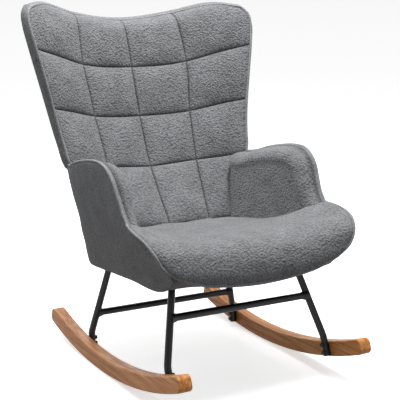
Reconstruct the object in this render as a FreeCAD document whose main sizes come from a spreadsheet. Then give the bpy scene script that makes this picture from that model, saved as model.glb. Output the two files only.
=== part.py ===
import FreeCAD, Part
import math
import os

# Wingback rocking chair: two curved wooden rockers, a bent steel leg frame, a tub of seat and
# arms, and a tall winged back.  Millimetres, +Z up, the sitter faces -Y, symmetric about X = 0.
# Heights are above the floor.  Fore-and-aft positions ("reach") are measured from the line where
# the rockers touch the floor; contact_y moves that line so that Y = 0 is the middle of the chair.

DIMENSIONS = {
    "contact_y": 12.0,
    "rocker_radius": 1300.0,
    "rocker_depth": 42.0,
    "rocker_width": 37.0,
    "rocker_half_gap": 249.0,
    "rocker_front_sweep": 22.3,
    "rocker_rear_sweep": 15.2,
    "rocker_end_round": 15.0,
    "rocker_edge_round": 4.0,
    "tube_diameter": 19.0,
    "tube_wall": 1.5,
    "bend_radius": 60.0,
    "weld_size": 3.0,
    "plate_side": 62.0,
    "plate_thickness": 3.0,
    "rocker_bolt_diameter": 6.0,
    "rocker_bolt_length": 42.0,
    "insert_diameter": 10.0,
    "insert_length": 15.0,
    "seat_bolt_diameter": 6.0,
    "seat_bolt_length": 25.0,
    "seat_bolt_pitch": 44.0,
    "underside_tilt": 4.9,
    "underside_height": 282.0,
    "underside_reach": -110.0,
    "board_thickness": 18.0,
    "board_width": 90.0,
    "rail_height": 45.0,
    "frame_half_width": 212.0,
    "board_half_width": 228.0,
    "strap_width": 50.0,
    "strap_thickness": 2.0,
    "dust_cover_thickness": 1.0,
    "panel_padding": 12.0,
    "panel_plywood": 15.0,
    "back_edge_thickness": 45.0,
    "piping_diameter": 6.0,
    "seam_half_width": 214.0,
    "clearance": 0.5,
}

# The legs' centre lines: (x, reach, height) on the sitter's left, mirrored for the right.
FRONT_LEG_BEND = (239.5, -340.6, 104.0)
FRONT_LEG_SLOPE = (-0.2635, 0.357)  # change of x and reach for each millimetre up
FRONT_LEG_FOOT = (239.5, -359.6, 56.2)
FRONT_BAR_HEIGHT = 215.0
REAR_LEG_BEND = (239.5, 133.9, 57.0)
REAR_LEG_SLOPE = (-0.2426, -0.1412)
REAR_LEG_FOOT = (239.5, 130.0, 16.0)
REAR_BAR_HEIGHT = 115.0

# The back, as plan curves reach(x) = middle - curve * x^2 at a few heights:
# (height, front middle, rear middle, front curve, rear curve).
BACK_LEVELS = [
    (255.0, 44.0, 180.0, 0.0, 0.0007),
    (362.0, 102.0, 222.0, 0.0, 0.0009),
    (440.0, 166.0, 262.0, 0.0006, 0.0012),
    (520.0, 224.0, 306.0, 0.0011, 0.00145),
    (660.0, 291.0, 372.0, 0.0012, 0.0015),
    (800.0, 341.0, 422.0, 0.00122, 0.0014),
    (930.0, 388.0, 462.0, 0.00117, 0.00132),
    (1010.0, 416.0, 488.0, 0.00112, 0.00125),
]
# Half of the back's front outline above the arms: (half width, height), from arm to crown.
WING_EDGE = [(293, 553), (300, 600), (313, 680), (329, 760), (345, 840), (357, 900)]
WING_CROWN = [(357, 900), (363, 940), (350, 980), (315, 996), (250, 988), (166, 966), (80, 951), (0, 945)]

# The tub's outer wall, one row for each height:
# (height, half width, half width at the front, rear reach, squareness of the rounded rear).
TUB_LEVELS = [
    (250.0, 240.0, 222.0, 174.0, 4.2),
    (330.0, 267.0, 240.0, 210.0, 3.2),
    (400.0, 286.0, 289.0, 243.0, 2.8),
    (455.0, 301.0, 313.0, 270.0, 2.6),
    (530.0, 311.0, 318.0, 308.0, 2.6),
    (605.0, 319.0, 325.0, 336.0, 2.6),
]
TUB_FRONT_REACH = -400.0
# Half width between the arm pads, one row for each height: (height, at the rear, at the front).
ARM_INSIDE = [
    (250.0, 208.0, 256.0),
    (360.0, 211.0, 262.0),
    (455.0, 231.0, 265.0),
    (540.0, 247.0, 265.0),
    (605.0, 252.0, 265.0),
]
ARM_PAD_REAR = 165.0
# Side view of the outer wall: (reach, height), from the front bottom corner round to the rear.
TUB_FRONT = [(-338, 301), (-372, 322), (-392, 352), (-388, 392), (-371, 420), (-333, 440), (-250, 452)]
ARM_FRONT = [(-250, 452), (-226, 480), (-204, 520), (-188, 550), (-164, 574), (-128, 590), (-92, 592)]
ARM_TOP = [(-92, 592), (-20, 584), (53, 569), (110, 552), (170, 547), (340, 547)]
TUB_REAR_BOTTOM = (340, 242)
# The seat cushion between the arms: (reach, top at the middle, top at the sides).
SEAT_LEVELS = [(98, 358, 356), (0, 360, 366), (-100, 366, 388), (-190, 382, 420), (-262, 398, 446)]
# The seat cushion in front of the arms:
# (reach, half width, height of its ends, top at the middle, bottom at the middle).
BOLSTER_LEVELS = [
    (-252, 294, 450, 399, 303),
    (-300, 306, 446, 404, 304),
    (-345, 304, 434, 402, 305),
    (-380, 296, 412, 384, 307),
    (-402, 262, 376, 352, 316),
]
# Half of the piping round the seat's front, from the middle: (x, reach, height).
SEAT_PIPING = [(0, -398, 302), (90, -398, 307), (176, -398, 321), (246, -398, 349), (279, -396, 374),
               (295, -389, 404), (308, -360, 432), (313, -311, 447), (304, -252, 455)]

document = FreeCAD.newDocument("RockingChair")
sheet = document.addObject("Spreadsheet::Sheet", "Dimensions")
for row, (alias, value) in enumerate(DIMENSIONS.items(), start=1):
    sheet.set(f"A{row}", alias)
    sheet.set(f"B{row}", str(value))
    sheet.setAlias(f"B{row}", alias)
document.recompute()

SIDES = {"right": -1, "left": 1}
sub_parts = []


def size(alias):
    """The number in the cell with this alias."""
    return float(getattr(sheet, alias))


def at(x, reach, height):
    """A point of the chair, from x, the reach from the floor line and the height."""
    return FreeCAD.Vector(x, reach + size("contact_y"), height)


def keep(item):
    """Add a finished sub-part to the list of those to be written."""
    sub_parts.append(item)
    return item


def bind(item, **expressions):
    """Bind properties of an object to cells of the sheet."""
    for name, expression in expressions.items():
        item.setExpression(name.replace("__", "."), expression)


def shaped(label, shape):
    """A sub-part whose shape is worked out here from the sheet's dimensions."""
    item = document.addObject("Part::Feature", label)
    item.Label = label
    item.Shape = shape
    return keep(item)


def new_body(label):
    """An empty PartDesign body that is a sub-part."""
    body = document.addObject("PartDesign::Body", label)
    body.Label = label
    return keep(body)


def origin_plane(body, role):
    """One of the body's own origin planes."""
    return next(plane for plane in body.Origin.OriginFeatures if plane.Role == role)


def sketch_on(body, role, name, loops):
    """A sketch on an origin plane, with the edges of every loop as its geometry."""
    sketch = body.newObject("Sketcher::SketchObject", name)
    sketch.AttachmentSupport = [(origin_plane(body, role), "")]
    sketch.MapMode = "FlatFace"
    for loop in loops:
        for geometry in loop:
            sketch.addGeometry(geometry, False)
    return sketch


def polygon(points):
    """Closed straight edges through (u, v) points."""
    corners = [FreeCAD.Vector(u, v, 0) for u, v in points]
    return [Part.LineSegment(a, b) for a, b in zip(corners, corners[1:] + corners[:1])]


def rectangle(u0, v0, u1, v1):
    """The four edges of a rectangle."""
    return polygon([(u0, v0), (u1, v0), (u1, v1), (u0, v1)])


def circle(u, v, radius):
    """A full circle as a loop of one edge."""
    return [Part.Circle(FreeCAD.Vector(u, v, 0), FreeCAD.Vector(0, 0, 1), radius)]


def pad(body, sketch, expression, reverse=False):
    """Pad a sketch by a length bound to the sheet."""
    feature = body.newObject("PartDesign::Pad", body.Label + "_pad")
    feature.Profile = sketch
    feature.Reversed = reverse
    bind(feature, Length=expression)
    return feature


def spline_edge(points):
    """A smooth edge through points."""
    curve = Part.BSplineCurve()
    curve.interpolate(points)
    return curve.toShape()


def line_edge(start, end):
    """A straight edge."""
    return Part.LineSegment(start, end).toShape()


def strip_wire(outer, inner):
    """A closed wire round a strip between two smooth curves that run the same way."""
    back = list(reversed(inner))
    return Part.Wire([
        spline_edge(outer),
        line_edge(outer[-1], back[0]),
        spline_edge(back),
        line_edge(back[-1], outer[0]),
    ])


def loft(wires):
    """A solid through closed wires, straight from each to the next."""
    return Part.makeLoft(wires, True, True)


def prism(corners, direction):
    """A prism over a closed run of corner points, long in one direction both ways."""
    edges = [line_edge(a, b) for a, b in zip(corners, corners[1:] + corners[:1])]
    face = Part.Face(Part.Wire(edges))
    reach = FreeCAD.Vector(direction) * 900
    face.translate(reach * -1)
    return face.extrude(reach * 2)


def front_prism(points):
    """A prism seen from the front: (x, height) corners, long in Y."""
    return prism([FreeCAD.Vector(x, 0, z) for x, z in points], FreeCAD.Vector(0, 1, 0))


def side_prism(points):
    """A prism seen from the side: (reach, height) corners, long in X."""
    return prism([at(0, y, z) for y, z in points], FreeCAD.Vector(1, 0, 0))


def mirrored(shape):
    """The other side's copy of a shape."""
    return shape.mirror(FreeCAD.Vector(0, 0, 0), FreeCAD.Vector(1, 0, 0))


def smooth(points, count=4):
    """A run of (u, v) points made finer along a smooth curve."""
    curve = Part.BSplineCurve()
    curve.interpolate([FreeCAD.Vector(u, v, 0) for u, v in points])
    first, last = curve.FirstParameter, curve.LastParameter
    steps = count * (len(points) - 1)
    found = [curve.value(first + (last - first) * i / steps) for i in range(steps + 1)]
    return [(p.x, p.y) for p in found]


# ---------------------------------------------------------------- rockers

def rocker_point(radius, degrees):
    """(reach, height) on an arc about the rocker's centre; positive degrees are forwards."""
    angle = math.radians(degrees)
    return (-radius * math.sin(angle), size("rocker_radius") - radius * math.cos(angle))


def rocker_outline():
    """Two arcs and two radial ends."""
    outer = size("rocker_radius")
    inner = outer - size("rocker_depth")
    front, rear = size("rocker_front_sweep"), -size("rocker_rear_sweep")

    def point(radius, degrees):
        return FreeCAD.Vector(*rocker_point(radius, degrees), 0)

    return [
        Part.Arc(point(outer, front), point(outer, 0), point(outer, rear)),
        Part.LineSegment(point(outer, rear), point(inner, rear)),
        Part.Arc(point(inner, rear), point(inner, 0), point(inner, front)),
        Part.LineSegment(point(inner, front), point(outer, front)),
    ]


def bolt_places(bend, foot):
    """The two bolt points down the lower length of a leg: (reach, height) pairs."""
    places = []
    for share in (0.42, 0.82):
        places.append(tuple(bend[i] + (foot[i] - bend[i]) * share for i in (1, 2)))
    return places


ROCKER_BOLTS = bolt_places(FRONT_LEG_BEND, FRONT_LEG_FOOT) + bolt_places(REAR_LEG_BEND, REAR_LEG_FOOT)


def edge_names(shape, wanted):
    """Names of the edges of a shape that pass a test."""
    return [f"Edge{i}" for i, edge in enumerate(shape.Edges, start=1) if wanted(edge)]


def runs_along_x(edge):
    """Whether a straight edge is parallel to X."""
    first, last = edge.Vertexes[0].Point, edge.Vertexes[-1].Point
    return abs(first.x - last.x) > 1 and (first - last).cross(FreeCAD.Vector(1, 0, 0)).Length < 0.01


def round_edges(body, base, names, expression, label):
    """A PartDesign fillet bound to the sheet."""
    fillet = body.newObject("PartDesign::Fillet", label)
    fillet.Base = (base, names)
    bind(fillet, Radius=expression)
    return fillet


def drill(body, label, places, radius, expression, reverse):
    """Blind holes from the rocker's inner face."""
    loops = [circle(y, z, radius) for y, z in places]
    sketch = sketch_on(body, "YZ_Plane", label + "_sketch", loops)
    feature = body.newObject("PartDesign::Pocket", label)
    feature.Profile = sketch
    feature.Reversed = reverse
    bind(feature, Length=expression)
    return feature


def make_rocker(side):
    """A solid wood rocker with rounded edges and bolt holes in its inner face."""
    label = side + "_rocker"
    sign = SIDES[side]
    body = new_body(label)
    outline = sketch_on(body, "YZ_Plane", label + "_outline", [rocker_outline()])
    blank = pad(body, outline, "Dimensions.rocker_width", reverse=sign < 0)
    document.recompute()
    ends = edge_names(blank.Shape, runs_along_x)
    ended = round_edges(body, blank, ends, "Dimensions.rocker_end_round", label + "_ends")
    document.recompute()
    rims = edge_names(ended.Shape, lambda edge: not runs_along_x(edge))
    round_edges(body, ended, rims, "Dimensions.rocker_edge_round", label + "_rims")
    document.recompute()
    before = body.Shape.Volume
    wide = size("insert_diameter") / 2
    narrow = size("rocker_bolt_diameter") / 2 + 0.3
    drill(body, label + "_sockets", ROCKER_BOLTS, wide, "Dimensions.insert_length", sign > 0)
    drill(body, label + "_pilots", ROCKER_BOLTS, narrow, "Dimensions.insert_length * 1.8", sign > 0)
    body.Placement.Base = FreeCAD.Vector(sign * size("rocker_half_gap"), size("contact_y"), 0)
    document.recompute()
    if not body.Shape.Volume < before:
        raise RuntimeError(label + ": the bolt holes cut nothing")


for side in SIDES:
    make_rocker(side)


# ---------------------------------------------------------------- the underside's own frame
# The seat's underside slopes down to the rear.  Its frame has X across, Y along the slope to the
# rear and Z square to it, with Z = 0 on the lower face of the mounting boards.

underside = FreeCAD.Placement(
    at(0, size("underside_reach"), size("underside_height")),
    FreeCAD.Rotation(FreeCAD.Vector(1, 0, 0), -size("underside_tilt")),
)


def under(x, along, above):
    """The placement of something at a point of the underside's frame."""
    return underside * FreeCAD.Placement(FreeCAD.Vector(x, along, above), FreeCAD.Rotation())


def leg_line(bend, slope, rise, side="left"):
    """A point of a leg's upper line, a rise above the bend."""
    sign = SIDES[side]
    return at(sign * (bend[0] + slope[0] * rise), bend[1] + slope[1] * rise, bend[2] + rise)


def leg_top(bend, slope, above, side="left"):
    """Where a leg's line meets a plane of the underside's frame, as a point of that frame."""
    low = underside.inverse().multVec(leg_line(bend, slope, 0, side))
    high = underside.inverse().multVec(leg_line(bend, slope, 100, side))
    share = (above - low.z) / (high.z - low.z)
    return low + (high - low) * share


LEGS = {
    "front": (FRONT_LEG_BEND, FRONT_LEG_SLOPE, FRONT_LEG_FOOT, FRONT_BAR_HEIGHT),
    "rear": (REAR_LEG_BEND, REAR_LEG_SLOPE, REAR_LEG_FOOT, REAR_BAR_HEIGHT),
}


# ---------------------------------------------------------------- steel leg frame

def leg_frame_axes(end, side):
    """The leg's local placement: origin at the bend, Z up the leg, X in the plane of the bend."""
    bend, slope, foot, _ = LEGS[end]
    sign = SIDES[side]
    origin = leg_line(bend, slope, 0, side)
    up = (leg_line(bend, slope, 100, side) - origin).normalize()
    down = (at(sign * foot[0], foot[1], foot[2]) - origin)
    across = down - up * down.dot(up)
    across.normalize()
    third = up.cross(across)
    rotation = FreeCAD.Rotation(across, third, up, "ZXY")
    return FreeCAD.Placement(origin, rotation), down


def make_leg(end, side):
    """A bent steel tube: a splayed upper length and a short foot along the rocker."""
    label = f"{side}_{end}_leg"
    bend, slope, _, _ = LEGS[end]
    frame, down = leg_frame_axes(end, side)
    local = frame.Rotation.inverted().multVec(down)
    top = underside.multVec(leg_top(bend, slope, 20, side))
    rise = (top - frame.Base).Length
    turn = math.atan2(local.x, -local.z)
    radius = size("bend_radius")
    cut = radius * math.tan(turn / 2)
    foot = FreeCAD.Vector(local.x, local.z, 0)
    leave = foot * (cut / foot.Length)
    middle_angle = turn / 2
    centre = FreeCAD.Vector(radius, cut, 0)
    middle = centre + FreeCAD.Vector(-math.cos(middle_angle), -math.sin(middle_angle), 0) * radius
    path = [
        Part.LineSegment(FreeCAD.Vector(0, rise, 0), FreeCAD.Vector(0, cut, 0)),
        Part.Arc(FreeCAD.Vector(0, cut, 0), middle, leave),
        Part.LineSegment(leave, foot),
    ]
    body = new_body(label)
    spine = sketch_on(body, "XZ_Plane", label + "_path", [path])
    rings = [circle(0, 0, size("tube_diameter") / 2)]
    rings.append(circle(0, 0, size("tube_diameter") / 2 - size("tube_wall")))
    ring = sketch_on(body, "XY_Plane", label + "_section", rings)
    ring.AttachmentOffset = FreeCAD.Placement(FreeCAD.Vector(0, 0, rise), FreeCAD.Rotation())
    pipe = body.newObject("PartDesign::AdditivePipe", label + "_tube")
    pipe.Profile = ring
    pipe.Spine = (spine, ["Edge1", "Edge2", "Edge3"])
    document.recompute()
    mitre = body.newObject("PartDesign::SubtractiveBox", label + "_mitre")
    mitre.Length, mitre.Width, mitre.Height = 200, 200, 60
    point = leg_top(bend, slope, 0, side)
    corner = under(point.x - 100, point.y - 100, -size("plate_thickness"))
    mitre.Placement = frame.inverse() * corner
    document.recompute()
    for number, (reach, height) in enumerate(bolt_places(bend, LEGS[end][2])):
        hole = body.newObject("PartDesign::SubtractiveCylinder", f"{label}_hole{number}")
        bind(hole, Radius="Dimensions.rocker_bolt_diameter / 2 + 0.3")
        hole.Height = 60
        start = at(SIDES[side] * bend[0] - 30, reach, height)
        turn_to_x = FreeCAD.Rotation(FreeCAD.Vector(0, 1, 0), 90)
        hole.Placement = frame.inverse() * FreeCAD.Placement(start, turn_to_x)
    body.Placement = frame
    return body


def rod(start, end, radius):
    """A round solid bar between two points."""
    axis = end - start
    return Part.makeCylinder(radius, axis.Length, start, axis)


def leg_envelope(end, side):
    """The leg's upper length as a solid bar, for coping what is welded to it."""
    bend, slope, _, _ = LEGS[end]
    radius = size("tube_diameter") / 2 + 0.05
    return rod(leg_line(bend, slope, 10, side), leg_line(bend, slope, 260, side), radius)


def make_crossbar(end):
    """A tube between the two legs of one end, coped to fit them."""
    bend, slope, _, height = LEGS[end]
    centre = leg_line(bend, slope, height - bend[2])
    left = FreeCAD.Vector(centre.x, centre.y, centre.z)
    right = FreeCAD.Vector(-centre.x, centre.y, centre.z)
    outer = size("tube_diameter") / 2
    bar = rod(right, left, outer).cut(rod(right, left, outer - size("tube_wall")))
    for side in SIDES:
        bar = bar.cut(leg_envelope(end, side))
    middle = max(bar.Solids, key=lambda solid: solid.Volume)
    shaped(end + "_crossbar", middle)
    return middle


def crossbar_weld(end, side):
    """The flared weld bead round one end of a crossbar."""
    bend, slope, _, height = LEGS[end]
    centre = leg_line(bend, slope, height - bend[2], side)
    inwards = FreeCAD.Vector(-SIDES[side], 0, 0)
    radius = size("tube_diameter") / 2
    flare = size("weld_size")
    bead = Part.makeCone(radius + 2 * flare, radius + 0.3, radius + 3 * flare, centre, inwards)
    bead = bead.cut(rod(centre, centre + inwards * 40, radius + 0.05))
    bead = bead.cut(leg_envelope(end, side))
    return max(bead.Solids, key=lambda solid: solid.Volume)


def plate_weld(end, side):
    """The weld bead round a leg's top, under its plate."""
    bend, slope, _, _ = LEGS[end]
    top = underside.multVec(leg_top(bend, slope, -size("plate_thickness"), side))
    down = (leg_line(bend, slope, 0, side) - top).normalize()
    radius = size("tube_diameter") / 2
    flare = size("weld_size")
    bead = Part.makeCone(radius + 2 * flare, radius + 0.3, 3 * flare, top - down * 2, down)
    above = Part.makeBox(200, 200, 40)
    point = leg_top(bend, slope, 0, side)
    above.Placement = under(point.x - 100, point.y - 100, -size("plate_thickness"))
    bead = bead.cut(rod(top - down * 20, top + down * 30, radius + 0.05)).cut(above)
    return max(bead.Solids, key=lambda solid: solid.Volume)


def make_plate(end, side):
    """A square steel plate with four bolt holes, square to the underside."""
    label = f"{side}_{end}_mounting_plate"
    bend, slope, _, _ = LEGS[end]
    point = leg_top(bend, slope, 0, side)
    half = size("plate_side") / 2
    offset = size("seat_bolt_pitch") / 2
    body = new_body(label)
    outline = sketch_on(body, "XY_Plane", label + "_outline", [rectangle(-half, -half, half, half)])
    blank = pad(body, outline, "Dimensions.plate_thickness")
    document.recompute()
    upright = edge_names(blank.Shape, lambda edge: abs(edge.tangentAt(edge.FirstParameter).z) > 0.99)
    fillet = body.newObject("PartDesign::Fillet", label + "_corners")
    fillet.Base = (blank, upright)
    fillet.Radius = 8
    radius = size("seat_bolt_diameter") / 2 + 0.3
    holes = [circle(u * offset, v * offset, radius) for u in (-1, 1) for v in (-1, 1)]
    drilled = sketch_on(body, "XY_Plane", label + "_holes", holes)
    pocket = body.newObject("PartDesign::Pocket", label + "_drilling")
    pocket.Profile = drilled
    pocket.Reversed = True
    pocket.Type = "ThroughAll"
    body.Placement = under(point.x, point.y, -size("plate_thickness"))
    return body


def plate_bolt_points():
    """Every seat bolt's place in the underside's frame."""
    points = []
    offset = size("seat_bolt_pitch") / 2
    for end in LEGS:
        for side in SIDES:
            point = leg_top(LEGS[end][0], LEGS[end][1], 0, side)
            for u in (-1, 1):
                for v in (-1, 1):
                    points.append((point.x + u * offset, point.y + v * offset))
    return points


def stepped(steps):
    """A turned piece up Z from (radius, height) steps, bored where a third number is given."""
    total = None
    level = 0.0
    for radius, height, *bore in steps:
        piece = Part.makeCylinder(radius, height, FreeCAD.Vector(0, 0, level))
        if bore:
            piece = piece.cut(Part.makeCylinder(bore[0], height, FreeCAD.Vector(0, 0, level)))
        total = piece if total is None else total.fuse(piece)
        level += height
    return total.removeSplitter()


def group(label, pattern, placements):
    """One node with a separate solid at every placement."""
    solids = []
    for placement in placements:
        copy = pattern.copy()
        copy.Placement = placement
        solids.append(copy)
    return shaped(label, Part.makeCompound(solids))


for end in LEGS:
    for side in SIDES:
        make_leg(end, side)
        make_plate(end, side)
document.recompute()
for end in LEGS:
    make_crossbar(end)
shaped("crossbar_welds", Part.makeCompound([crossbar_weld(end, side) for end in LEGS for side in SIDES]))
shaped("plate_welds", Part.makeCompound([plate_weld(end, side) for end in LEGS for side in SIDES]))

# Feet: plastic plugs in the open lower ends of the legs.
plug = stepped([
    (size("tube_diameter") / 2, 2.0),
    (size("tube_diameter") / 2 - size("tube_wall") - 0.1, 6.0),
])
plug_places = []
for end in LEGS:
    for side in SIDES:
        foot_placement, down = leg_frame_axes(end, side)
        foot_point = foot_placement.Base + down
        inward = FreeCAD.Rotation(FreeCAD.Vector(0, 0, 1), down * -1)
        step_out = down.normalize() * 2.05
        plug_places.append(FreeCAD.Placement(foot_point + step_out, inward))
group("leg_end_plugs", plug, plug_places)

# Bolts through the feet of the legs into threaded inserts in the rockers.
bolt_radius = size("rocker_bolt_diameter") / 2
rocker_bolt = stepped([(5.5, 3.5), (bolt_radius, size("rocker_bolt_length"))])
socket = Part.makeCylinder(2.0, 2.0)
rocker_bolt = rocker_bolt.cut(socket)
rocker_insert = stepped([(size("insert_diameter") / 2 - 0.05, size("insert_length") - 0.2, bolt_radius + 0.05)])
washer = stepped([(6.5, 1.2, bolt_radius + 0.2)])
bolt_poses, insert_poses, washer_poses = [], [], []
for side, sign in SIDES.items():
    outwards = FreeCAD.Rotation(FreeCAD.Vector(0, 0, 1), FreeCAD.Vector(sign, 0, 0))
    face = size("rocker_half_gap")
    for reach, height in ROCKER_BOLTS:
        inner_wall = face - size("tube_diameter") - 1.3
        washer_poses.append(FreeCAD.Placement(at(sign * inner_wall, reach, height), outwards))
        bolt_poses.append(FreeCAD.Placement(at(sign * (inner_wall - 3.6), reach, height), outwards))
        insert_poses.append(FreeCAD.Placement(at(sign * (face + 0.1), reach, height), outwards))
group("rocker_bolts", rocker_bolt, bolt_poses)
group("rocker_washers", washer, washer_poses)
group("rocker_threaded_inserts", rocker_insert, insert_poses)

# Bolts up through the plates into tee nuts on the mounting boards.
seat_radius = size("seat_bolt_diameter") / 2
seat_bolt = stepped([(5.5, 3.5), (seat_radius, size("seat_bolt_length"))]).cut(socket)
tee_nut = stepped([(seat_radius + 1.0, 10.0, seat_radius + 0.05), (9.0, 1.5, seat_radius + 0.05)])
bolt_level = -size("plate_thickness") - 3.55
nut_level = size("board_thickness") - 9.95
group("seat_bolts", seat_bolt, [under(x, y, bolt_level) for x, y in plate_bolt_points()])
group("tee_nuts", tee_nut, [under(x, y, nut_level) for x, y in plate_bolt_points()])


# ---------------------------------------------------------------- seat frame

def flat_board(label, corners, thickness, placement, holes=(), hole_radius=0.0):
    """A board padded up from its outline, with round holes right through."""
    body = new_body(label)
    outline = sketch_on(body, "XY_Plane", label + "_outline", [rectangle(*corners)])
    pad(body, outline, thickness)
    if holes:
        drilled = sketch_on(body, "XY_Plane", label + "_holes", [circle(u, v, hole_radius) for u, v in holes])
        pocket = body.newObject("PartDesign::Pocket", label + "_drilling")
        pocket.Profile = drilled
        pocket.Reversed = True
        pocket.Type = "ThroughAll"
    body.Placement = placement
    return body


def mounting_board(end):
    """A plywood board across the seat that two plates bolt to."""
    point = leg_top(LEGS[end][0], LEGS[end][1], 0, "left")
    half_width = size("board_half_width")
    half_depth = size("board_width") / 2
    holes = [(x, y - point.y) for x, y in plate_bolt_points() if abs(y - point.y) < 60]
    corners = (-half_width, -half_depth, half_width, half_depth)
    placement = under(0, point.y, 0)
    radius = size("seat_bolt_diameter") / 2 + 1.1
    flat_board(end + "_mounting_board", corners, "Dimensions.board_thickness", placement, holes, radius)
    return point.y


front_board = mounting_board("front")
rear_board = mounting_board("rear")
rail = size("board_thickness")
half_board = size("board_width") / 2
width = size("frame_half_width")
front_rail_at = front_board - half_board - rail - 0.2
rear_rail_at = rear_board + half_board + 0.2
for name, along in (("seat_front_rail", front_rail_at), ("seat_rear_rail", rear_rail_at)):
    corners = (-width, 0, width, rail)
    flat_board(name, corners, "Dimensions.rail_height", under(0, along, 0))
for side, sign in SIDES.items():
    inner, outer = sorted((sign * (width - rail), sign * width))
    corners = (inner, 0, outer, rear_rail_at - front_rail_at - rail - 0.4)
    place = under(0, front_rail_at + rail + 0.2, size("board_thickness") + 2)
    flat_board(side + "_seat_side_rail", corners, "Dimensions.rail_height - 20", place)

# Elastic straps over the frame: long ones under, cross ones over.
strap = size("strap_width")
strap_rise = size("rail_height") + 0.1
span = rear_rail_at + rail - front_rail_at
long_strap = Part.makeBox(strap, span, size("strap_thickness"))
strap_starts = [-150 - strap / 2, -50 - strap / 2, 50 - strap / 2, 150 - strap / 2]
group("seat_long_straps", long_strap, [under(x, front_rail_at, strap_rise) for x in strap_starts])
cross_strap = Part.makeBox(2 * width, strap, size("strap_thickness"))
cross_starts = [front_rail_at + 60 + 110 * i for i in range(4)]
above_long = strap_rise + size("strap_thickness") + 0.1
group("seat_cross_straps", cross_strap, [under(-width, y, above_long) for y in cross_starts])

# Black dust cover on the underside, notched at the sides round the plates.
dust_body = new_body("underside_dust_cover")
gap = size("plate_side") / 2 + 2
side_edge = []
for end in LEGS:
    point = leg_top(LEGS[end][0], LEGS[end][1], 0, "left")
    notch = [(width, -gap), (point.x - gap, -gap), (point.x - gap, gap), (width, gap)]
    side_edge += [(x, point.y + y) for x, y in notch]
side_edge = [(width, front_rail_at)] + side_edge + [(width, rear_rail_at + rail)]
dust_outline = polygon(side_edge + [(-x, y) for x, y in reversed(side_edge)])
dust_sketch = sketch_on(dust_body, "XY_Plane", "dust_cover_outline", [dust_outline])
pad(dust_body, dust_sketch, "Dimensions.dust_cover_thickness")
dust_body.Placement = under(0, 0, -size("dust_cover_thickness") - 0.05)


# ---------------------------------------------------------------- back

def back_point(row, x, depth):
    """A point of the back at one height: depth 0 is the front surface, 1 the rear one."""
    height, front, rear, front_curve, rear_curve = row
    near = front - front_curve * x * x
    far = max(rear - rear_curve * x * x, near + size("back_edge_thickness"))
    return at(x, near + (far - near) * depth, height)


def back_layer(near, far):
    """A layer of the back between two depths, wider and taller than the back itself."""
    xs = [-380, -250, -125, 0, 125, 250, 380]
    wires = []
    for row in BACK_LEVELS:
        front = [back_point(row, x, near) for x in xs]
        rear = [back_point(row, x, far) for x in xs]
        wires.append(strip_wire(front, rear))
    return loft(wires)


def inset_outline(points, inset):
    """A closed run of (u, v) points moved inwards, with mitred corners."""
    corners = [FreeCAD.Vector(u, v, 0) for u, v in points]
    turned = corners[1:] + corners[:1]
    area = sum(here.x * after.y - after.x * here.y for here, after in zip(corners, turned))
    inward = FreeCAD.Rotation(FreeCAD.Vector(0, 0, 1), 90 if area > 0 else -90)
    moved = []
    for before, here, after in zip(corners[-1:] + corners[:-1], corners, turned):
        first = inward.multVec((here - before).normalize())
        second = inward.multVec((after - here).normalize())
        moved.append(here + (first + second) * (inset / (1 + first.dot(second))))
    return [(corner.x, corner.y) for corner in moved]


def both_halves(half):
    """A closed outline from its right half, which runs from bottom to top."""
    return half + [(-x, z) for x, z in reversed(half) if x > 0.01]


wing_half = smooth(WING_EDGE) + smooth(WING_CROWN)[1:]
arm_gap = size("clearance") + 0.5
inside_low, inside_high = ARM_INSIDE[1][1] - arm_gap, ARM_INSIDE[3][1] - arm_gap
cushion_outline = both_halves([(inside_low, 364), (inside_high, 552)] + wing_half)
seam = size("seam_half_width") - 1
cover_outline = both_halves([(seam, 257), (seam, 552)] + wing_half)

cushion_layer = back_layer(-0.14, 0.22)
cover_layer = back_layer(0.91, 1.0)
shaped("back_rear_cover", cover_layer.common(front_prism(cover_outline)))

def between(levels, height):
    """A row of a table at a height between two of its rows."""
    for low, high in zip(levels, levels[1:]):
        if low[0] <= height <= high[0]:
            share = (height - low[0]) / (high[0] - low[0])
            return tuple(a + (b - a) * share for a, b in zip(low, high))
    raise ValueError(height)


def back_piece(span, low, high, near, far):
    """A piece of the back's layers between two x positions, two heights and two depths."""
    heights = [low] + [row[0] for row in BACK_LEVELS if low + 15 < row[0] < high - 15] + [high]
    xs = [span[0] + (span[1] - span[0]) * i / 4 for i in range(5)]
    wires = []
    for height in heights:
        row = between(BACK_LEVELS, height)
        front = [back_point(row, x, near) for x in xs]
        rear = [back_point(row, x, far) for x in xs]
        wires.append(strip_wire(front, rear))
    return loft(wires)


FRAME_NEAR, FRAME_FAR = 0.53, 0.78
post_in, post_out = 150, 190
post_shape = back_piece((post_in, post_out), 290, 925, FRAME_NEAR, FRAME_FAR)
shaped("left_back_post", post_shape)
shaped("right_back_post", mirrored(post_shape))
wing_inner = [(post_out + 1, 572), (post_out + 1, 930)]
wing_outer = inset_outline([(0, 553)] + wing_half, 16)
wing_outer = [(x, z) for x, z in wing_outer if x > post_out + 20 and 571 < z < 945]
wing_outer = sorted(wing_outer, key=lambda point: point[1])
wing_shape = back_layer(0.6, FRAME_FAR).common(front_prism([wing_inner[0]] + wing_outer + [wing_inner[1]]))
shaped("left_wing_frame", wing_shape)
shaped("right_wing_frame", mirrored(wing_shape))
back_rails = (("back_lower_rail", 300, 345), ("back_lumbar_rail", 560, 605), ("back_top_rail", 860, 915))
for name, low, high in back_rails:
    shaped(name, back_piece((1 - post_in, post_in - 1), low, high, FRAME_NEAR, FRAME_FAR))
back_straps = []
for low in (380, 450, 640, 705, 770):
    back_straps.append(back_piece((-post_out, post_out), low, low + strap, 0.495, 0.52))
shaped("back_straps", Part.makeCompound(back_straps))
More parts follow.
